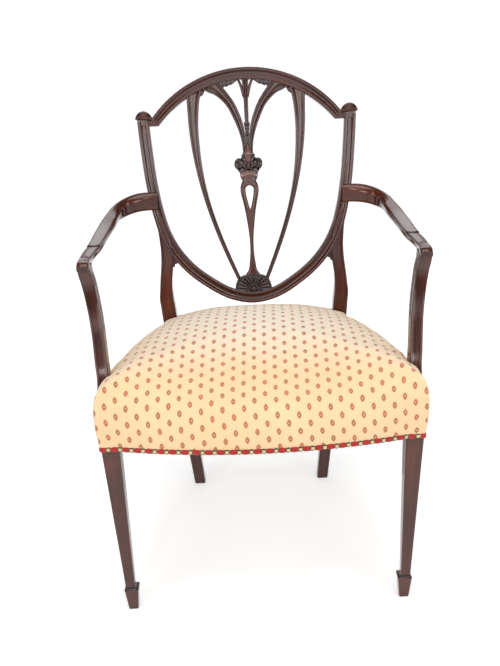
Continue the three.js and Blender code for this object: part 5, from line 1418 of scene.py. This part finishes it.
def dulledSteel(name):
    # Grey metal with cloudy tarnish that also roughens it
    made = Finish(name)
    cloud = made.noise(made.onChair(), 300.0, 3.0)
    made.surface({"Base Color": made.ramp(cloud, [(0.35, (0.30, 0.27, 0.23)), (0.65, (0.52, 0.50, 0.47))]),
                  "Metallic": 0.9, "Roughness": made.between(cloud, (0.3, 0.7), (0.55, 0.38))})
    return made.material


frameBeech = beech("seatFrameBeech")
strapJute = jute("webbingJute", 1.0, (0.42, 0.31, 0.17), (0.13, 0.085, 0.04))
sackJute = jute("hessianJute", 0.7, (0.36, 0.27, 0.16), (0.10, 0.07, 0.035))
screwSteel = dulledSteel("screwSteel")
finishOf = dict(screw=screwSteel, webbing=strapJute, hessian=sackJute, rail=frameBeech, block=frameBeech)
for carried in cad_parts:
    made = bpy.data.objects.get(carried)
    if made is not None:
        made.data.materials.clear()
        made.data.materials.append(next((finishOf[word] for word in finishOf if word in carried), mahogany))

# Hessian: width and depth of the node's outline, read from its mesh
sacking = bpy.data.objects["hessian"]
sackWidth, sackDepth = np.ptp(meshPlaces(sacking.data)[:, :2], axis=0).tolist()
print("frame finished")

# Room: pale floor that runs up into a backdrop, white to the camera, soft lamps

room = dict(
    floorColour=(0.90, 0.90, 0.90), reach=8.0, flat=3.0, rim=2.3, rings=24, spokes=64, glowNear=0.45, glowFar=0.76,
    glowFrom=0.5, glowTo=2.4, worldLevel=0.24, worldSeen=1.0,
)


def roomPiece():
    # Rings of a wide floor that rises behind and beside the chair: height of the rim times a smooth step further
    # out, times a smooth step round from the front, where the floor stays level
    radii = np.linspace(0.8, room["reach"], room["rings"])[:, None]
    turn = np.linspace(0, 2 * math.pi, room["spokes"], endpoint=False)
    height = room["rim"] * smoothStep((radii - room["flat"]) / (room["reach"] - room["flat"]))
    behind = smoothStep((np.sin(turn) + 0.45) / 0.4)
    points = np.stack([radii * np.cos(turn), radii * np.sin(turn), height * behind], -1)
    faces = [face[::-1] for face in gridFaces(room["rings"], room["spokes"], True)] + [tuple(range(room["spokes"]))]
    mesh = bpy.data.meshes.new("studio_floor")
    mesh.from_pydata(points.reshape(-1, 3).tolist(), [], faces)
    mesh.polygons.foreach_set("use_smooth", np.ones(len(mesh.polygons), bool))
    return linked("studio_floor", mesh)


def paleFloor(name):
    # Matt white; to the camera and in reflections it adds light of its own, more where the lamps reach less
    made = Finish(name)
    seen = made.add("LightPath", out="Is Camera Ray")
    for kind in ("Is Glossy Ray", "Is Transmission Ray"):
        seen = seen.math("MAXIMUM", made.add("LightPath", out=kind))
    far = made.add("VectorMath", {0: made.onChair()}, "Value", operation="LENGTH")
    glow = made.between(far, (room["glowFrom"], room["glowTo"]), (room["glowNear"], room["glowFar"]), "SMOOTHSTEP")
    made.surface({"Base Color": room["floorColour"], "Roughness": 0.9, "Emission Color": (1, 1, 1),
                  "Emission Strength": seen * glow})
    return made.material


floor = roomPiece()
floor.data.materials.append(paleFloor("paleStudioFloor"))

world = bpy.data.worlds.new("softRoom")
bpy.context.scene.world = world
world.use_nodes = True
sky = Nodes(world.node_tree)
skySeen = sky.add("LightPath", out="Is Camera Ray")
skyLevel = sky.between(skySeen, (0.0, 1.0), (room["worldLevel"], room["worldSeen"]))
sky.add("OutputWorld", {0: sky.add("Background", {"Color": (1, 1, 1), "Strength": skyLevel})})

# name, place, where it aims, width and height in metres, watts
lamps = (
    ("front_softbox", (0, -2.35, 1.35), (0, 0.2, 0.7), 1.06, 1.1, 4.4),
    ("bright_band", (0, -2.3, 1.52), (0, 0.2, 0.75), 1.6, 0.5, 4.8),
    ("left_side_panel", (-1.65, -2.0, 1.22), (-0.15, 0.2, 0.78), 1.25, 0.7, 14.0),
    ("right_side_panel", (1.65, -2.0, 1.22), (0.15, 0.2, 0.78), 1.25, 0.7, 14.0),
    ("left_tube", (-0.6, -2.25, 1.72), (0, 0.2, 0.7), 0.12, 0.9, 3.5),
    ("right_tube", (0.6, -2.25, 1.72), (0, 0.2, 0.7), 0.12, 0.9, 3.5),
    ("back_panel", (0, 2.4, 2.1), (0, 0, 0.7), 2.4, 1.0, 11.0),
    ("high_panel", (0, -2.1, 2.7), (0, 0, 0.5), 1.6, 0.8, 2.0),
    ("left_strip", (-2.2, -0.3, 1.3), (0, 0, 0.6), 0.25, 1.6, 5.0),
    ("right_strip", (2.2, -0.3, 1.3), (0, 0, 0.6), 0.25, 1.6, 5.0),
    ("top_panel", (0, -0.5, 2.6), (0, -0.1, 0.5), 1.7, 1.7, 23.0),
)
for name, location, target, width, height, power in lamps:
    light = bpy.data.lights.new(name, "AREA")
    light.shape = "RECTANGLE"
    light.size, light.size_y, light.energy = width, height, power
    lamp = linked(name, light)
    lamp.location = location
    lamp.rotation_euler = (Vector(target) - Vector(location)).to_track_quat("-Z", "Y").to_euler()
print("room made")

# Camera: solved from the photograph's vertical legs, level seat and scale

view = dict(
    location=(-0.0198, -1.61664, 1.045), yaw=0.227, pitch=19.770, roll=2.448, focalPixels=850.0, tall=666.0,
    sensor=36.0,
)


def matchCamera():
    # Sight line turned by yaw and pitch; the picture's right and up are then rolled round it
    yaw, pitch, roll = (math.radians(view[k]) for k in ("yaw", "pitch", "roll"))
    ahead = Vector((math.sin(yaw) * math.cos(pitch), math.cos(yaw) * math.cos(pitch), -math.sin(pitch)))
    right = Vector((math.cos(yaw), -math.sin(yaw), 0))
    down = ahead.cross(right)
    x = math.cos(roll) * right + math.sin(roll) * down
    y = -(-math.sin(roll) * right + math.cos(roll) * down)
    lens = bpy.data.cameras.new("photo_camera")
    lens.sensor_width = view["sensor"]
    lens.lens = view["sensor"] * view["focalPixels"] / view["tall"]
    made = linked("photo_camera", lens)
    turned = Matrix((x, y, -ahead)).transposed()
    made.matrix_world = Matrix.Translation(view["location"]) @ turned.to_4x4()
    bpy.context.scene.camera = made


matchCamera()
bpy.context.scene.view_settings.view_transform = "Standard"
